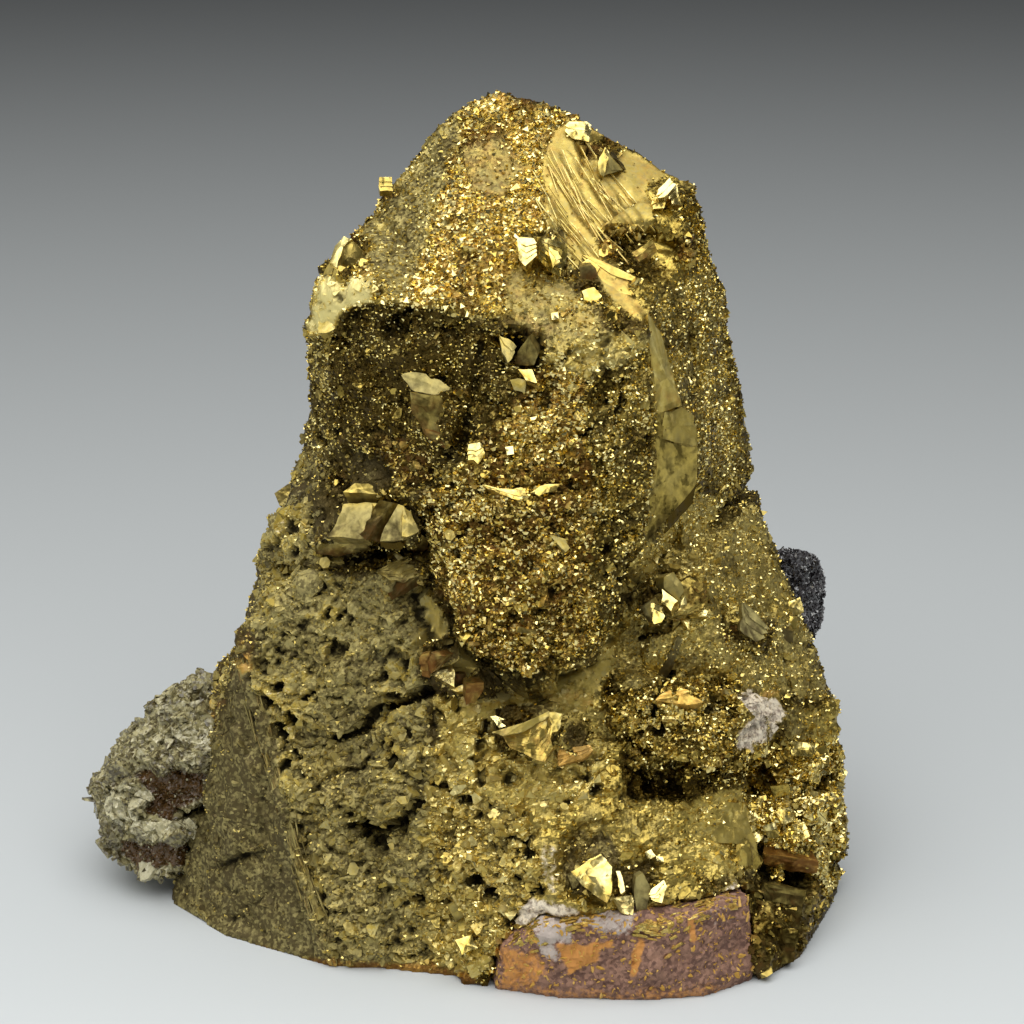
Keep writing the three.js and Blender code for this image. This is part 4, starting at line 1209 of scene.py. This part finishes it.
        (0.0, -0.92, 0.4), 2.0, 0.15, 2, 0.75, 0.25, 0.2),
    "foot block, side": ([(744, 802), (752, 831), (761, 863), (750, 878), (740, 842)],
        (0.5, -0.9, 0.1), 2.0, 0.3, 1, 0.6, 0.1, 0.15),
    "foot block, wedge": ([(738, 830), (750, 842), (753, 865), (737, 868)],
        (-0.2, -0.9, 0.35), 1.6, 0.6, 1, 0.7, 0.2, 0.1),
    "foot, upper": ([(762, 882), (790, 886), (806, 895), (799, 928), (768, 922)],
        (0.1, -0.95, 0.3), 2.0, 0.5, 4, 0.2, 0.2, 0.3),
    "foot, lower": ([(765, 926), (799, 930), (794, 962), (770, 968)],
        (-0.1, -0.9, 0.4), 2.0, 0.4, 3, 0.2, 0.2, 0.3),
    "flank box, top": ([(783, 604), (800, 597), (804, 612), (788, 617)], NEARLY, 2.2, 0.9, 2, 1.0, 0.1, 0.3),
    "flank box, front": ([(781, 616), (797, 616), (796, 629), (783, 627)],
        FORWARD, 1.6, 0.7, 1, 0.7, 0.2, 0.2),
    "flank box, side": ([(779, 629), (794, 631), (793, 643), (779, 641)],
        SHADED, 1.8, 0.6, 1, 0.1, 0.4, 0.3),
    "low facet": ([(448, 905), (462, 900), (470, 915), (456, 922)],
        (0.2, -0.88, 0.4), 1.6, 0.6, 2, 0.6, 0.4, 0.1),
    "lower facet": ([(455, 940), (472, 935), (478, 948), (462, 955)], NEARLY, 1.6, 0.8, 1, 0.9, 0.2, 0.2),
    "window, upper": ([(648, 314), (660, 331), (673, 374), (682, 406), (656, 413), (652, 374)],
        (0.42, -0.9, 0.12), 1.6, 0.15, 1, 0.95, 0.3, 0.35),
    "window, block": ([(656, 414), (682, 407), (696, 426), (698, 446), (676, 443), (658, 437)],
        (0.36, -0.9, 0.24), 1.6, 0.25, 2, 0.78, 0.35, 0.15),
    "window, lower": ([(656, 438), (676, 444), (699, 448), (696, 484), (684, 500), (662, 524), (643, 545),
        (648, 518), (653, 480)],
        (0.42, -0.9, 0.1), 1.6, 0.3, 1, 0.42, 0.15, 0.1),
    "window, streak": ([(676, 446), (690, 452), (678, 480), (664, 500), (668, 470)],
        (0.36, -0.9, 0.2), 1.0, 0.22, 1, 0.7, 0.25, 0.4),
    # painted shade: the tip gets a gold below zero, which is dark ore
    "window, tip": ([(697, 484), (692, 504), (668, 531), (640, 550), (646, 541), (664, 521), (684, 499)],
        (0.5, -0.88, -0.05), 1.6, 0.6, 1, -0.3, -0.15, 0.0),
    "step facet": ([(398, 630), (412, 632), (416, 655), (406, 660)],
        (0.4, -0.9, 0.3), 1.4, 0.5, 2, 0.6, 0.6, 0.1),
}
SHEET = 0.13  # millimetres that each growth step rises
SATIN = 0.15  # dullness that is added to every face
PEAK = 0.14  # the most that a face bulges, as a share of its size
RAGGED, RAGGED_EVERY = 0.07, 0.8  # millimetres off the straight line, and between such corners
TAPER = 0.86  # how wide the body behind a face is at its back, as a share of the face
STEP_SHRINK = 0.03  # how much narrower each growth step is, as a share of the face


def prism(lower, upper, peak=0.0):
    """Points and triangles of a closed body between two rings, its upper cap raised to a peak."""
    count = len(lower)
    points = np.concatenate([lower, upper, [lower.mean(0)], [upper.mean(0) + peak]])
    triangles = []
    for k in range(count):
        after = (k + 1) % count
        triangles += [(k, after, count + after), (k, count + after, count + k), (after, k, 2 * count),
                      (count + k, count + after, 2 * count + 1)]
    return points, np.array(triangles)


def outward(points, triangles):
    """Turns the triangles of a closed body so that they look outward."""
    a, b, c = (points[triangles[:, k]] for k in range(3))
    volume = np.einsum("ij,ij->", a - points.mean(0), np.cross(b - a, c - a))
    return points, triangles if volume > 0 else triangles[:, ::-1]


def ragged(ring, away, rng):
    """A ring of corners with more corners between them, a little off the straight line."""
    corners = []
    for a, b in zip(ring, np.roll(ring, -1, 0)):
        length = np.linalg.norm(b - a)
        extra = int(length / RAGGED_EVERY)
        aside = np.cross(away, b - a) / max(length, 1e-6)
        corners.append(a)
        for k in range(extra):
            along = (b - a) * (k + 1 + rng.uniform(-0.3, 0.3)) / (extra + 1)
            corners.append(a + along + rng.normal(0, RAGGED) * aside)
    return np.array(corners)


def grown_face(outline, facing, deep, lift, steps, rng):
    """A crystal face as closed bodies, a block and the growth steps on it, with a painted shade for each
    corner.
    """
    away = np.array(facing) / np.linalg.norm(facing)
    pixels = np.array(outline, float)
    place = spot(*pixels.mean(0))[0] + lift * away
    rays = [picture_ray(u, v) for u, v in pixels]
    top = np.array([EYE + ray * ((place - EYE) @ away) / (ray @ away) for ray in rays])
    edge = (top[1] - top[0]) / np.linalg.norm(top[1] - top[0])
    middle = top.mean(0)
    top = ragged(top, away, rng)
    across = (top - top[0]) - np.outer((top - top[0]) @ edge, edge)
    reach = np.linalg.norm(top - middle, axis=1).mean()
    peak = reach * (rng.uniform(-0.3, 0.3) * edge + rng.uniform(-0.2, 0.3) * np.cross(away, edge))
    peak += reach * rng.uniform(0.03, PEAK) * away
    bodies = [prism(middle + TAPER * (top - middle) - deep * away, top, peak)]
    for step in range(1, steps):
        ring = top - across * (step / steps * rng.uniform(0.85, 1.15))
        ring = ring.mean(0) + (1 - STEP_SHRINK * step) * (ring - ring.mean(0))
        bodies.append(prism(ring - SHEET * away, ring + step * SHEET * away))
    shaded = []
    for points, triangles in bodies:
        # painted light: each corner is paler the higher it stands on the face and darker near its foot, plus
        # random streaks
        fall = (points - middle) @ np.array((0.3, 0.0, 1.0)) / reach
        shaded.append((*outward(off_floor(points), triangles), 0.5 * fall + rng.uniform(-1, 1, len(points))))
    return shaded


def near_turns(turn, spread, count, rng):
    """Rotations that differ from one turn by a few degrees."""
    angles = rng.normal(0, math.radians(spread), (count, 3))
    zero = np.zeros(count)
    skew = np.array([[zero, -angles[:, 2], angles[:, 1]], [angles[:, 2], zero, -angles[:, 0]],
                     [-angles[:, 1], angles[:, 0], zero]])
    small = np.eye(3) + np.moveaxis(skew, 2, 0)
    return small @ np.array(turn)


face_rng = np.random.default_rng(7)
face_parts = []
for outline, facing, deep, lift, steps, gold, dull, rust in FACES.values():
    for points, triangles, shade in grown_face(outline, facing, deep, lift, steps, face_rng):
        face_parts.append((points, triangles, worn(gold + 0.25 * shade, rust - 0.15 * shade, dull + SATIN)))

HIDDEN_GROUPS = SMALL_BLOCKS[-5:]  # at the back, where crystals are set in groups rather than by outline
gem_patterns = [pattern(sphenoid(4, 0.75)), pattern(sphenoid(3, 0.6)), pattern(sphenoid(4, 0.9))]
for at, toward, wide, tall in HIDDEN_GROUPS:
    for lean in (-0.8, -0.3, 0.2, 0.7):
        points, triangles = gem_patterns[face_rng.integers(len(gem_patterns))]
        turn = near_turns(RIDGE_TURN, 9, 1, face_rng)[0]
        place = np.array(at) + 0.4 * wide * lean * np.array((1, 0, lean))
        place = place - (1.1 + abs(lean)) * np.array(toward)
        size = wide * (0.42 - 0.2 * abs(lean)) * face_rng.uniform(0.8, 1.2, 3)
        face_parts.append(((points * size) @ turn.T + place, triangles, worn(0.7 + 0.4 * lean, 0.25, 0.45)))
crystals = finished(joined("larger_crystals", face_parts), "chalcopyrite_cluster", ORE_CRYSTAL)
print("crystal faces:", len(FACES), "in", len(crystals.data.polygons), "triangles")

# %% [markdown]
# ## Sowing the druse
# The druse is some tens of thousands of crystals of a few tenths of a millimetre. Each is a few triangles cut
# from the same sphenoid. About half of them take the direction of the large crystal below them, as real ones
# do, and flash together when the light is right, and the others lie as they fell. Bare areas get few.
# Where the ore is pitted rather than drusy, thin ragged plates lie on it like shingles.

# %% Seed beds
class Bed:
    """The squares of a carved skin as places to sow on."""

    def __init__(self, mesh, values, seen):
        points = read(mesh.vertices, "co", 3)
        corners = read(mesh.loops, "vertex_index", 1)[:, 0].reshape(-1, 4)
        squares = points[corners]
        crossed = np.cross(squares[:, 2] - squares[:, 0], squares[:, 3] - squares[:, 1])
        length = np.linalg.norm(crossed, axis=1)
        self.middle, self.area = squares.mean(1), length / 2
        self.normal = crossed / np.maximum(length, 1e-9)[:, None]
        self.values = {name: column[corners].mean(1) for name, column in values.items()}
        self.seen = seen[corners].mean(1)
        self.clear = ramp(self.middle[:, 2], 0.3, 0.8)

    def pick(self, weight, count, rng):
        """Squares picked at random, more of them where the weight is high."""
        chance = self.area * np.maximum(weight, 0) * self.clear
        return rng.choice(len(chance), count, replace=False, p=chance / chance.sum())


def any_turns(count, rng):
    """Even random rotations."""
    q = rng.normal(size=(count, 4))
    w, x, y, z = (q / np.linalg.norm(q, axis=1)[:, None]).T
    rows = [[1 - 2 * (y * y + z * z), 2 * (x * y - w * z), 2 * (x * z + w * y)],
            [2 * (x * y + w * z), 1 - 2 * (x * x + z * z), 2 * (y * z - w * x)],
            [2 * (x * z - w * y), 2 * (y * z + w * x), 1 - 2 * (x * x + y * y)]]
    return np.moveaxis(np.array(rows), 2, 0)


def laid_turns(normals, tilt, upward, rng):
    """Rotations that lay flat things on a surface, tilted at random and a little upward."""
    z = normals + rng.normal(0, tilt, normals.shape) + (0, 0, upward)
    z /= np.linalg.norm(z, axis=1)[:, None]
    x = np.cross(z, rng.normal(size=z.shape))
    x /= np.linalg.norm(x, axis=1)[:, None]
    return np.stack([x, np.cross(z, x), z], 2)


def grown_turns(places, share, spread, rng):
    """Rotations of which a share follow the crystal below, on the head or under it."""
    turns = any_turns(len(places), rng)
    for turn, there in ((HEAD_TURN, places[:, 2] > HEAD_FOOT), (RIDGE_TURN, places[:, 2] <= HEAD_FOOT)):
        follow = there & (rng.random(len(places)) < share)
        turns[follow] = near_turns(turn, spread, follow.sum(), rng)
    return turns


def mixed_sizes(shape, mean, least, most, uneven, count, rng):
    """Sizes of which few are large, each a little uneven in its three directions."""
    return rng.gamma(shape, mean, count).clip(least, most)[:, None] * rng.uniform(*uneven, (count, 3))


def sown(bed, patterns, hosts, sizes, turns, sink, tint, rng):
    """Parts for many small crystals, each on a square of the bed; tint shifts and spreads its values."""
    kinds = rng.integers(len(patterns), size=len(hosts))
    sunk = sink * sizes.max(1)[:, None] * bed.normal[hosts]
    places = bed.middle[hosts] + rng.uniform(-0.15, 0.15, (len(hosts), 3)) - sunk
    parts = []
    for kind, (shape, triangles) in enumerate(patterns):
        mine = np.flatnonzero(kinds == kind)
        grown = shape[None] * sizes[mine, None, :]
        points = off_floor(np.einsum("nij,nkj->nki", turns[mine], grown) + places[mine, None])
        steps = len(shape) * np.arange(len(mine))[:, None, None]
        wears = {}
        for name in ORE_VALUES:
            shift, spread = tint.get(name, (0, 0))
            value = bed.values[name][hosts[mine]] + shift + spread * rng.uniform(-1, 1, len(mine))
            wears[name] = np.repeat(value, len(shape))
        parts.append((points.reshape(-1, 3), (triangles[None] + steps).reshape(-1, 3), wears))
    return parts


def small_piece(name, parts, material, node="chalcopyrite_cluster"):
    """A finished piece that joins many small shapes."""
    mesh = joined(name, parts)
    print(name, len(mesh.polygons), "triangles")
    return finished(mesh, node, material)


ore_bed = Bed(ore_mesh, ore_map, ore_seen)
print("squares to sow on:", len(ore_bed.area))

# %% Chips
CHIPS = 4200
chip_rng = np.random.default_rng(11)
chip_patterns = [
    pattern(sphenoid(4)), pattern(sphenoid(2, 0.7)),
    pattern(cut(block(1.8, 1.5, 1.2), [(0.75, (1, 1, 0.4)), (0.7, (-1, 0.6, 1)), (0.7, (0.3, -1, 0.8))])),
    pattern(cut(block(2.0, 1.6, 0.7), [(0.75, (1, 0.8, 0)), (0.7, (-1, 1, 0.3)), (0.7, (0.2, -1, 0.9))])),
]
hosts = ore_bed.pick(ore_bed.values["chips"] * (0.4 + ore_bed.seen), CHIPS, chip_rng)
size = mixed_sizes(3, 0.1, 0.16, 0.8, (0.75, 1.25), CHIPS, chip_rng)
turns = grown_turns(ore_bed.middle[hosts], 0.6, 9, chip_rng)
tint = {"gold": (0.1, 0.3), "rust": (-0.08, 0.2), "dull": (-0.05, 0.1), "bare": (0.2, 0)}
small_piece("chips", sown(ore_bed, chip_patterns, hosts, size, turns, 0.25, tint, chip_rng), ORE_CRYSTAL)

# %% Plates
PLATES = 4500
plate_rng = np.random.default_rng(13)
plate_patterns = [
    pattern(cut(block(1.6, 1.3, 0.3), [(0.55, (1, 0.7, 0.1)), (0.5, (-1, 0.9, -0.1))])),
    pattern(cut(block(1.8, 1.0, 0.34), [(0.5, (1, 0.8, 0.2)), (0.5, (-0.7, -1, 0.1))])),
    pattern(cut(block(1.3, 1.3, 0.4), [(0.4, (1, 1, 0.1)), (0.55, (-1, 0.3, 0.1))])),
]
hosts = ore_bed.pick(ore_bed.values["plates"] * (0.35 + ore_bed.seen), PLATES, plate_rng)
size = mixed_sizes(4, 0.085, 0.2, 0.7, (0.7, 1.3), PLATES, plate_rng)
turns = laid_turns(ore_bed.normal[hosts], 0.2, 0.25, plate_rng)
tint = {"gold": (0, 0.15), "rust": (0, 0.1), "dull": (0, 0.15), "hollow": (-0.1, 0.05), "bare": (0.3, 0)}
small_piece("plates", sown(ore_bed, plate_patterns, hosts, size, turns, 0.06, tint, plate_rng), ORE)

# %% Grains
GRAIN_PIECES, GRAINS = 3, 27500
grain_rng = np.random.default_rng(12)
grain_patterns = [pattern(sphenoid(0)), pattern(sphenoid(1, 0.6)), pattern(sphenoid(1, 0.4)),
                  pattern(sphenoid(0)), pattern(cut(block(1.0, 1.2, 1.1), [(0.0, (1, 1, 0.1))]))]
for number in range(GRAIN_PIECES):
    druse = np.clip(1 - ore_bed.values["bare"], 0.02, 1) * np.clip(1.25 - ore_bed.values["dull"], 0.3, 1)
    druse *= 0.4 + 0.6 * ore_bed.values["crowd"]
    hosts = ore_bed.pick(druse * (0.45 + 0.85 * ore_bed.seen), GRAINS, grain_rng)
    size = ore_bed.values["grain"][hosts, None] * grain_rng.uniform(0.6, 1.2, (GRAINS, 1))
    size = size * grain_rng.uniform(0.8, 1.2, (GRAINS, 3))
    turns = grown_turns(ore_bed.middle[hosts], 0.4, 12, grain_rng)
    tint = {"gold": (0.3, 0.45), "rust": (-0.15, 0.25), "dull": (-0.18, 0.12), "hollow": (-0.05, 0)}
    parts = sown(ore_bed, grain_patterns, hosts, size, turns, 0.1, tint, grain_rng)
    small_piece(f"druse_{number + 1}", parts, ORE_GRAIN)

# %% [markdown]
# ## Threads
# The ridge block grew in threads that run down its edge, and finer ones fan out over the golden face. They
# are long thin crystals laid side by side. Short thick ones serve as crumbs along a seam further on.

# %% Threads
THREAD_CUTS = [(0.3, (0.1, 1, 1)), (0.9, (1, 0.3, 0.2)), (0.9, (-1, -0.2, 0.3))]
AIM_AHEAD = 12  # pixels ahead along the path at which a thread points
RIDGE_EDGE = [(246, 672), (262, 728), (296, 850), (330, 952)]


def threads(path, half_width, count, length, thickness, wears, rng, tree=ore_tree):
    """Long thin crystals laid along a path in the picture."""
    shape, triangles = pattern(cut(block(2, 0.5, 0.5), THREAD_CUTS))
    corners = np.array(path, float)
    parts = []
    for _ in range(count):
        leg = rng.integers(len(corners) - 1)
        place = corners[leg] + rng.random() * (corners[leg + 1] - corners[leg])
        step = (corners[leg + 1] - corners[leg]) / np.linalg.norm(corners[leg + 1] - corners[leg])
        place = place + rng.normal(0, half_width / 2) * np.array([-step[1], step[0]])
        (here, normal), (there, _) = spot(*place, tree), spot(*(place + AIM_AHEAD * step), tree)
        if here.shape != (3,) or there.shape != (3,):
            continue
        x = there - here + rng.normal(0, 0.06, 3)
        x /= np.linalg.norm(x)
        y = np.cross(normal, x)
        y /= np.linalg.norm(y)
        turn = np.stack([x, y, np.cross(x, y)], 1)
        size = np.array([length, thickness, thickness]) * rng.uniform(0.6, 1.3, 3)
        points = off_floor((shape * size) @ turn.T + here + 0.15 * np.cross(x, y))
        values = {name: value + 0.2 * rng.uniform(-1, 1) * (name in ("gold", "rust"))
                  for name, value in wears.items()}
        parts.append((points, triangles, values))
    return parts


thread_rng = np.random.default_rng(14)
thread_parts = threads(RIDGE_EDGE, 7, 240, 1.5, 0.25, worn(0.35, 0.35, 0.65, 1.0), thread_rng)
for line in range(FLOW_LINES):
    flow_line = CRACKS[f"flow line {line + 1}"][0]
    thread_parts += threads(flow_line, 9, 7, 2.0, 0.24, worn(1.1, 0.35, 0.5, 1.0), thread_rng)
small_piece("threads", thread_parts, ORE_CRYSTAL)

# %% [markdown]
# ## The other minerals
# Dark sphalerite sits in the right flank, a knot of resinous sphalerite at the lower left and a strip of
# iron-stained stone under the front. Each is carved and sown like the ore, with its own finish.

# %% Finish of the other minerals
def mineral_material(name, base, deep, streak, bright, roughness, tilt, cells_per_mm, specular):
    """A stone in four colours: base and deep by noise, streak by the value rust, bright by stone."""
    material, tree, shader, place, druse = drusy_material(name, cells_per_mm, 0.5)
    cloud, mottle = noise(tree, place, 0.5), noise(tree, place, 2.2)
    grain = stirred(tree, cloud, druse.outputs["Cell"], 0.5)
    colour = graded(tree, stirred(tree, grain, mottle, 0.8), deep, ((0.2, 0.8, base),))
    for value, low, tone in (("rust", 0.3, streak), ("stone", 0.35, bright)):
        colour = graded(tree, stirred(tree, attribute(tree, value), mottle, 0.9), colour, ((low, 0.7, tone),))
    # darkening by hollow: partly grime, partly painted shade in the sunk relief
    grime_and_shade = span(tree, attribute(tree, "hollow"), 0.05, 0.6)
    colour = blend_colour(tree, maths(tree, "MULTIPLY", grime_and_shade, 0.85), colour, GRIME_AND_SHADE)
    feed(tree, druse, {"Tilt": tilt})
    feed(tree, shader, {"Base Color": colour, "Roughness": roughness, "Specular IOR Level": specular})
    return material


STONE = mineral_material("iron stained stone", paint(0.35, 0.195, 0.13), paint(0.14, 0.072, 0.052),
                         paint(0.62, 0.28, 0.07), paint(0.52, 0.44, 0.38), 0.7, 0.12, 3.0, 0.3)
RESIN = mineral_material("resinous sphalerite", paint(0.42, 0.37, 0.18), paint(0.075, 0.056, 0.02),
                         paint(0.10, 0.05, 0.013), paint(0.60, 0.55, 0.34), 0.22, 0.4, 3.0, 0.6)
BLACK = mineral_material("dark sphalerite", paint(0.075, 0.068, 0.07), paint(0.02, 0.017, 0.018),
                         paint(0.2, 0.15, 0.1), paint(0.6, 0.6, 0.58), 0.16, 0.5, 2.0, 1.0)

# %% Carving the other minerals
MINERAL_GRID = 0.3  # millimetres between the vertices of these skins
# outline in the picture, rust or dark red share, bright share and rise in millimetres
MATRIX_PATCHES = [
    ([(541, 905), (560, 915), (574, 919), (578, 945), (560, 960), (541, 950), (532, 925)], 0.0, 0.72, 0.0),
    ([(570, 905), (600, 905), (641, 912), (641, 934), (600, 932), (574, 926)], 0.1, 0.62, 0.0),
    ([(563, 946), (580, 942), (608, 938), (606, 952), (585, 966), (563, 976)], 1.1, 0.0, 0.0),
    ([(623, 968), (632, 944), (649, 934), (647, 946), (634, 968)], 1.1, 0.0, 0.0),
    ([(498, 950), (541, 945), (548, 965), (532, 996), (496, 990)], 0.6, 0.0, 0.0),
    ([(686, 922), (693, 922), (694, 940), (687, 940)], 1.1, 0.0, 0.0),
    ([(700, 895), (742, 870), (745, 925), (735, 940), (700, 925)], 0.1, 0.35, 0.0),
    ([(480, 985), (745, 985), (745, 1010), (480, 1010)], 0.45, 0.0, 0.0),
]
KNOT_PATCHES = [
    ([(100, 790), (150, 712), (212, 672), (220, 712), (208, 762), (172, 770), (140, 764), (112, 790)],
        0.0, 0.3, 0.7),
    ([(172, 722), (205, 712), (212, 745), (206, 768), (185, 772), (172, 765)], 0.0, 0.4, 0.3),
    ([(136, 772), (168, 772), (208, 774), (206, 816), (175, 822), (146, 814)], 0.85, 0.0, -0.8),
    ([(110, 796), (134, 784), (152, 800), (140, 812), (118, 828)], 0.0, 0.6, 0.3),
    ([(100, 810), (118, 828), (126, 850), (112, 855), (98, 835)], 0.15, 0.15, 0.0),
    ([(130, 820), (160, 822), (198, 815), (196, 836), (160, 842), (136, 834)], 0.1, 0.6, 0.7),
    ([(121, 842), (150, 846), (192, 842), (184, 886), (150, 880), (118, 855)], 0.75, 0.0, -0.5),
    ([(143, 872), (170, 866), (182, 882), (165, 900), (145, 890)], 0.0, 0.6, 0.2),
]


def carved_mineral(node, name, patches, relief, plates, seed, soft, layers=None):
    """The skin of another mineral with its relief, its values and its bed to sow on."""
    mesh = voxel_skin(as_mesh(merged_copy(node), name), MINERAL_GRID, name)
    points, edges = read(mesh.vertices, "co", 3), read(mesh.edges, "vertices", 2)
    normals = soft_normals(mesh, edges)
    tree = ray_tree(mesh, points)
    share = ramp((normals * (EYE - points)).sum(1) / np.linalg.norm(EYE - points, axis=1), -0.05, 0.2)
    places = ragged_places(points, 0.7 * soft, 2.5, seed)
    values = {value: np.zeros(len(points)) for value in ORE_VALUES}
    rise = np.zeros(len(points))
    for outline, rust, bright, up in patches:
        mask = inside(outline, places, soft) * share
        rise += mask * up
        values["rust"] += mask * (rust - values["rust"])
        values["stone"] += mask * (bright - values["stone"])
    height = relief * soft_noise(points, 3.5, seed + 2)
    height = height + 0.3 * relief * soft_noise(points, 1.1, seed + 3, 2) + 0.12
    along = points @ np.array(layers) if layers else 0.0
    layer = along + 2.2 * soft_noise(points, 2.6, seed + 4, 2)
    height += plates * (terraces(layer) - layer + 0.5)
    height -= 0.5 * relief * ramp(soft_noise(points, 1.3, seed + 5, 2), 0.3, 0.6)
    height = (height + rise) * ramp(points[:, 2], 0.0, BASE_FADE)
    # hollow darkens the finish: partly grime, partly painted shade
    values["hollow"] = np.maximum(blurred(height, edges, 6) - height, 0)
    shaped = points + normals * height[:, None]
    shaped[:, 2] = np.maximum(shaped[:, 2], 0.0)
    set_points(mesh, shaped)
    give(mesh, values)
    return mesh, Bed(mesh, values, share), tree


matrix_mesh, matrix_bed, matrix_tree = carved_mineral(
    "iron_stained_matrix", "matrix_stone", MATRIX_PATCHES, relief=0.4, plates=0.2, seed=801, soft=13)
knot_mesh, knot_bed, _ = carved_mineral(
    "sphalerite_knot", "knot", KNOT_PATCHES, relief=0.6, plates=0.35, seed=821, soft=6,
    layers=(0.2, 0.35, 0.9))
dark_mesh, dark_bed, _ = carved_mineral(
    "sphalerite_crystal", "dark_crystal", [], relief=0.35, plates=0.2, seed=841, soft=6)
finished(matrix_mesh, "iron_stained_matrix", STONE)
finished(knot_mesh, "sphalerite_knot", RESIN)
finished(dark_mesh, "sphalerite_crystal", BLACK)
print("other minerals:", len(matrix_mesh.polygons), len(knot_mesh.polygons), len(dark_mesh.polygons), "faces")

# %% Sowing on the other minerals
small_rng = np.random.default_rng(15)
SEAM = [(512, 948), (530, 934), (572, 924), (620, 922), (662, 928), (690, 914), (722, 902), (742, 900)]
seam_parts = threads(SEAM, 12, 420, 0.5, 0.4, worn(0.8, 0.6, 0.4, 0.3), small_rng, matrix_tree)
small_piece("seam_crumbs", seam_parts, ORE)

SPECKS = 2500
hosts = matrix_bed.pick(0.3 + matrix_bed.seen, SPECKS, small_rng)
size = mixed_sizes(3, 0.038, 0.07, 0.32, ((1.0, 0.6, 0.4), (2.2, 1.0, 0.7)), SPECKS, small_rng)
turns = laid_turns(matrix_bed.normal[hosts], 0.12, 0.0, small_rng)
tint = {"gold": (1.2, 0.3), "rust": (1.4, 0.3), "dull": (1.0, 0.2), "stone": (-1, 0), "bare": (1, 0)}
small_piece("matrix_specks", sown(matrix_bed, chip_patterns, hosts, size, turns, 0.1, tint, small_rng),
            ORE_CRYSTAL, "iron_stained_matrix")

FLAKES, CRUMBS = 1000, 2400
hosts = knot_bed.pick(0.25 + 2.0 * knot_bed.values["stone"] - knot_bed.values["rust"], FLAKES, small_rng)
size = mixed_sizes(4, 0.14, 0.3, 1.2, (0.75, 1.25), FLAKES, small_rng)
turns = laid_turns(knot_bed.normal[hosts], 0.12, 0.15, small_rng)
tint = {"stone": (-0.1, 0.35), "rust": (-0.1, 0.3)}
flakes = sown(knot_bed, plate_patterns, hosts, size, turns, 0.0, tint, small_rng)
hosts = knot_bed.pick(0.25 + 1.5 * knot_bed.values["rust"] - knot_bed.values["stone"], CRUMBS, small_rng)
size = small_rng.uniform(0.1, 0.22, (CRUMBS, 3))
tint = {"stone": (0.1, 0.5), "rust": (0.0, 0.2)}
crumbs = sown(knot_bed, grain_patterns, hosts, size, any_turns(CRUMBS, small_rng), 0.1, tint, small_rng)
small_piece("knot_flakes", flakes + crumbs, RESIN, "sphalerite_knot")

SPARKS = 3000
hosts = dark_bed.pick(np.ones(len(dark_bed.area)), SPARKS, small_rng)
size = small_rng.uniform(0.14, 0.34, (SPARKS, 3))
# the stone value gives some sparks the pale bright colour of the dark sphalerite: partly pale crust, partly
# painted glints
tint = {"stone": (0.1, 0.5)}
sparks = sown(dark_bed, grain_patterns, hosts, size, any_turns(SPARKS, small_rng), 0.1, tint, small_rng)
small_piece("dark_crystal_druse", sparks, BLACK, "sphalerite_crystal")

# %% [markdown]
# ## Floor, lamp and room
# A pale floor with painted shade that darkens it towards the back, one broad soft lamp overhead, and a grey
# room that is brighter above than at eye height.
# A metal shows what stands round it, so the dim room is what makes the upright faces dark and the lamp what
# makes the tilted ones shine.

# %% Stage
FLOOR_PAINTED_SHADE = 2.7  # how much darker the floor is painted at the back: painted shade
FLOOR_NEAR, FLOOR_FAR = -0.05, 0.75  # where it begins to darken and where it is darkest, in metres
FLOOR_TONE = (0.628, 0.658, 0.658)
LAMP_AIM = Vector((0.0, 0.0, 0.04))  # the place that the lamps point at, in metres
ROOM_LOW, ROOM_HIGH, ROOM_STRENGTH = paint(0.10, 0.105, 0.11), paint(0.45, 0.46, 0.47), 0.32


def plain_floor():
    shape = bmesh.new()
    bmesh.ops.create_grid(shape, x_segments=1, y_segments=1, size=2.0)
    mesh = as_mesh(shape, "floor")
    material = bpy.data.materials.new("pale paper")
    material.use_nodes = True
    tree = material.node_tree
    shader = tree.nodes["Principled BSDF"]
    place = wire(tree, "ShaderNodeSeparateXYZ", {0: wire(tree, "ShaderNodeTexCoord").outputs["Object"]})
    # painted shade: the floor is darkened towards the back
    reach = {"Value": place.outputs["Y"], "From Min": FLOOR_NEAR, "From Max": FLOOR_FAR}
    darker = maths(tree, "MULTIPLY", wire(tree, "ShaderNodeMapRange", reach).outputs["Result"], FLOOR_PAINTED_SHADE)
    shade = maths(tree, "DIVIDE", 1.0, maths(tree, "ADD", 1.0, darker))
    feed(tree, shader, {"Base Color": scaled(tree, FLOOR_TONE, shade), "Roughness": 0.8})
    mesh.materials.append(material)
    floor = placed("floor", mesh)


def lamp(name, place, size, power):
    light = bpy.data.lights.new(name, "AREA")
    light.shape, light.size, light.size_y, light.energy = "RECTANGLE", size[0], size[1], power
    lamp_object = placed(name, light)
    lamp_object.location = place
    lamp_object.rotation_euler = (LAMP_AIM - Vector(place)).to_track_quat("-Z", "Y").to_euler()


def grey_room():
    world = bpy.data.worlds.new("room")
    bpy.context.scene.world = world
    world.use_nodes = True
    tree = world.node_tree
    upright = wire(tree, "ShaderNodeSeparateXYZ", {0: wire(tree, "ShaderNodeTexCoord").outputs["Generated"]})
    tone = graded(tree, upright.outputs["Z"], ROOM_LOW, ((-0.1, 0.9, ROOM_HIGH),))
    feed(tree, tree.nodes["Background"], {"Color": tone, "Strength": ROOM_STRENGTH})


plain_floor()
lamp("soft box", (-0.02, -0.14, 0.60), (1.0, 0.8), 6.9)
lamp("left card", (-0.5, -0.25, 0.2), (0.3, 0.3), 0.35)
grey_room()
bpy.context.scene.view_settings.view_transform = "Standard"
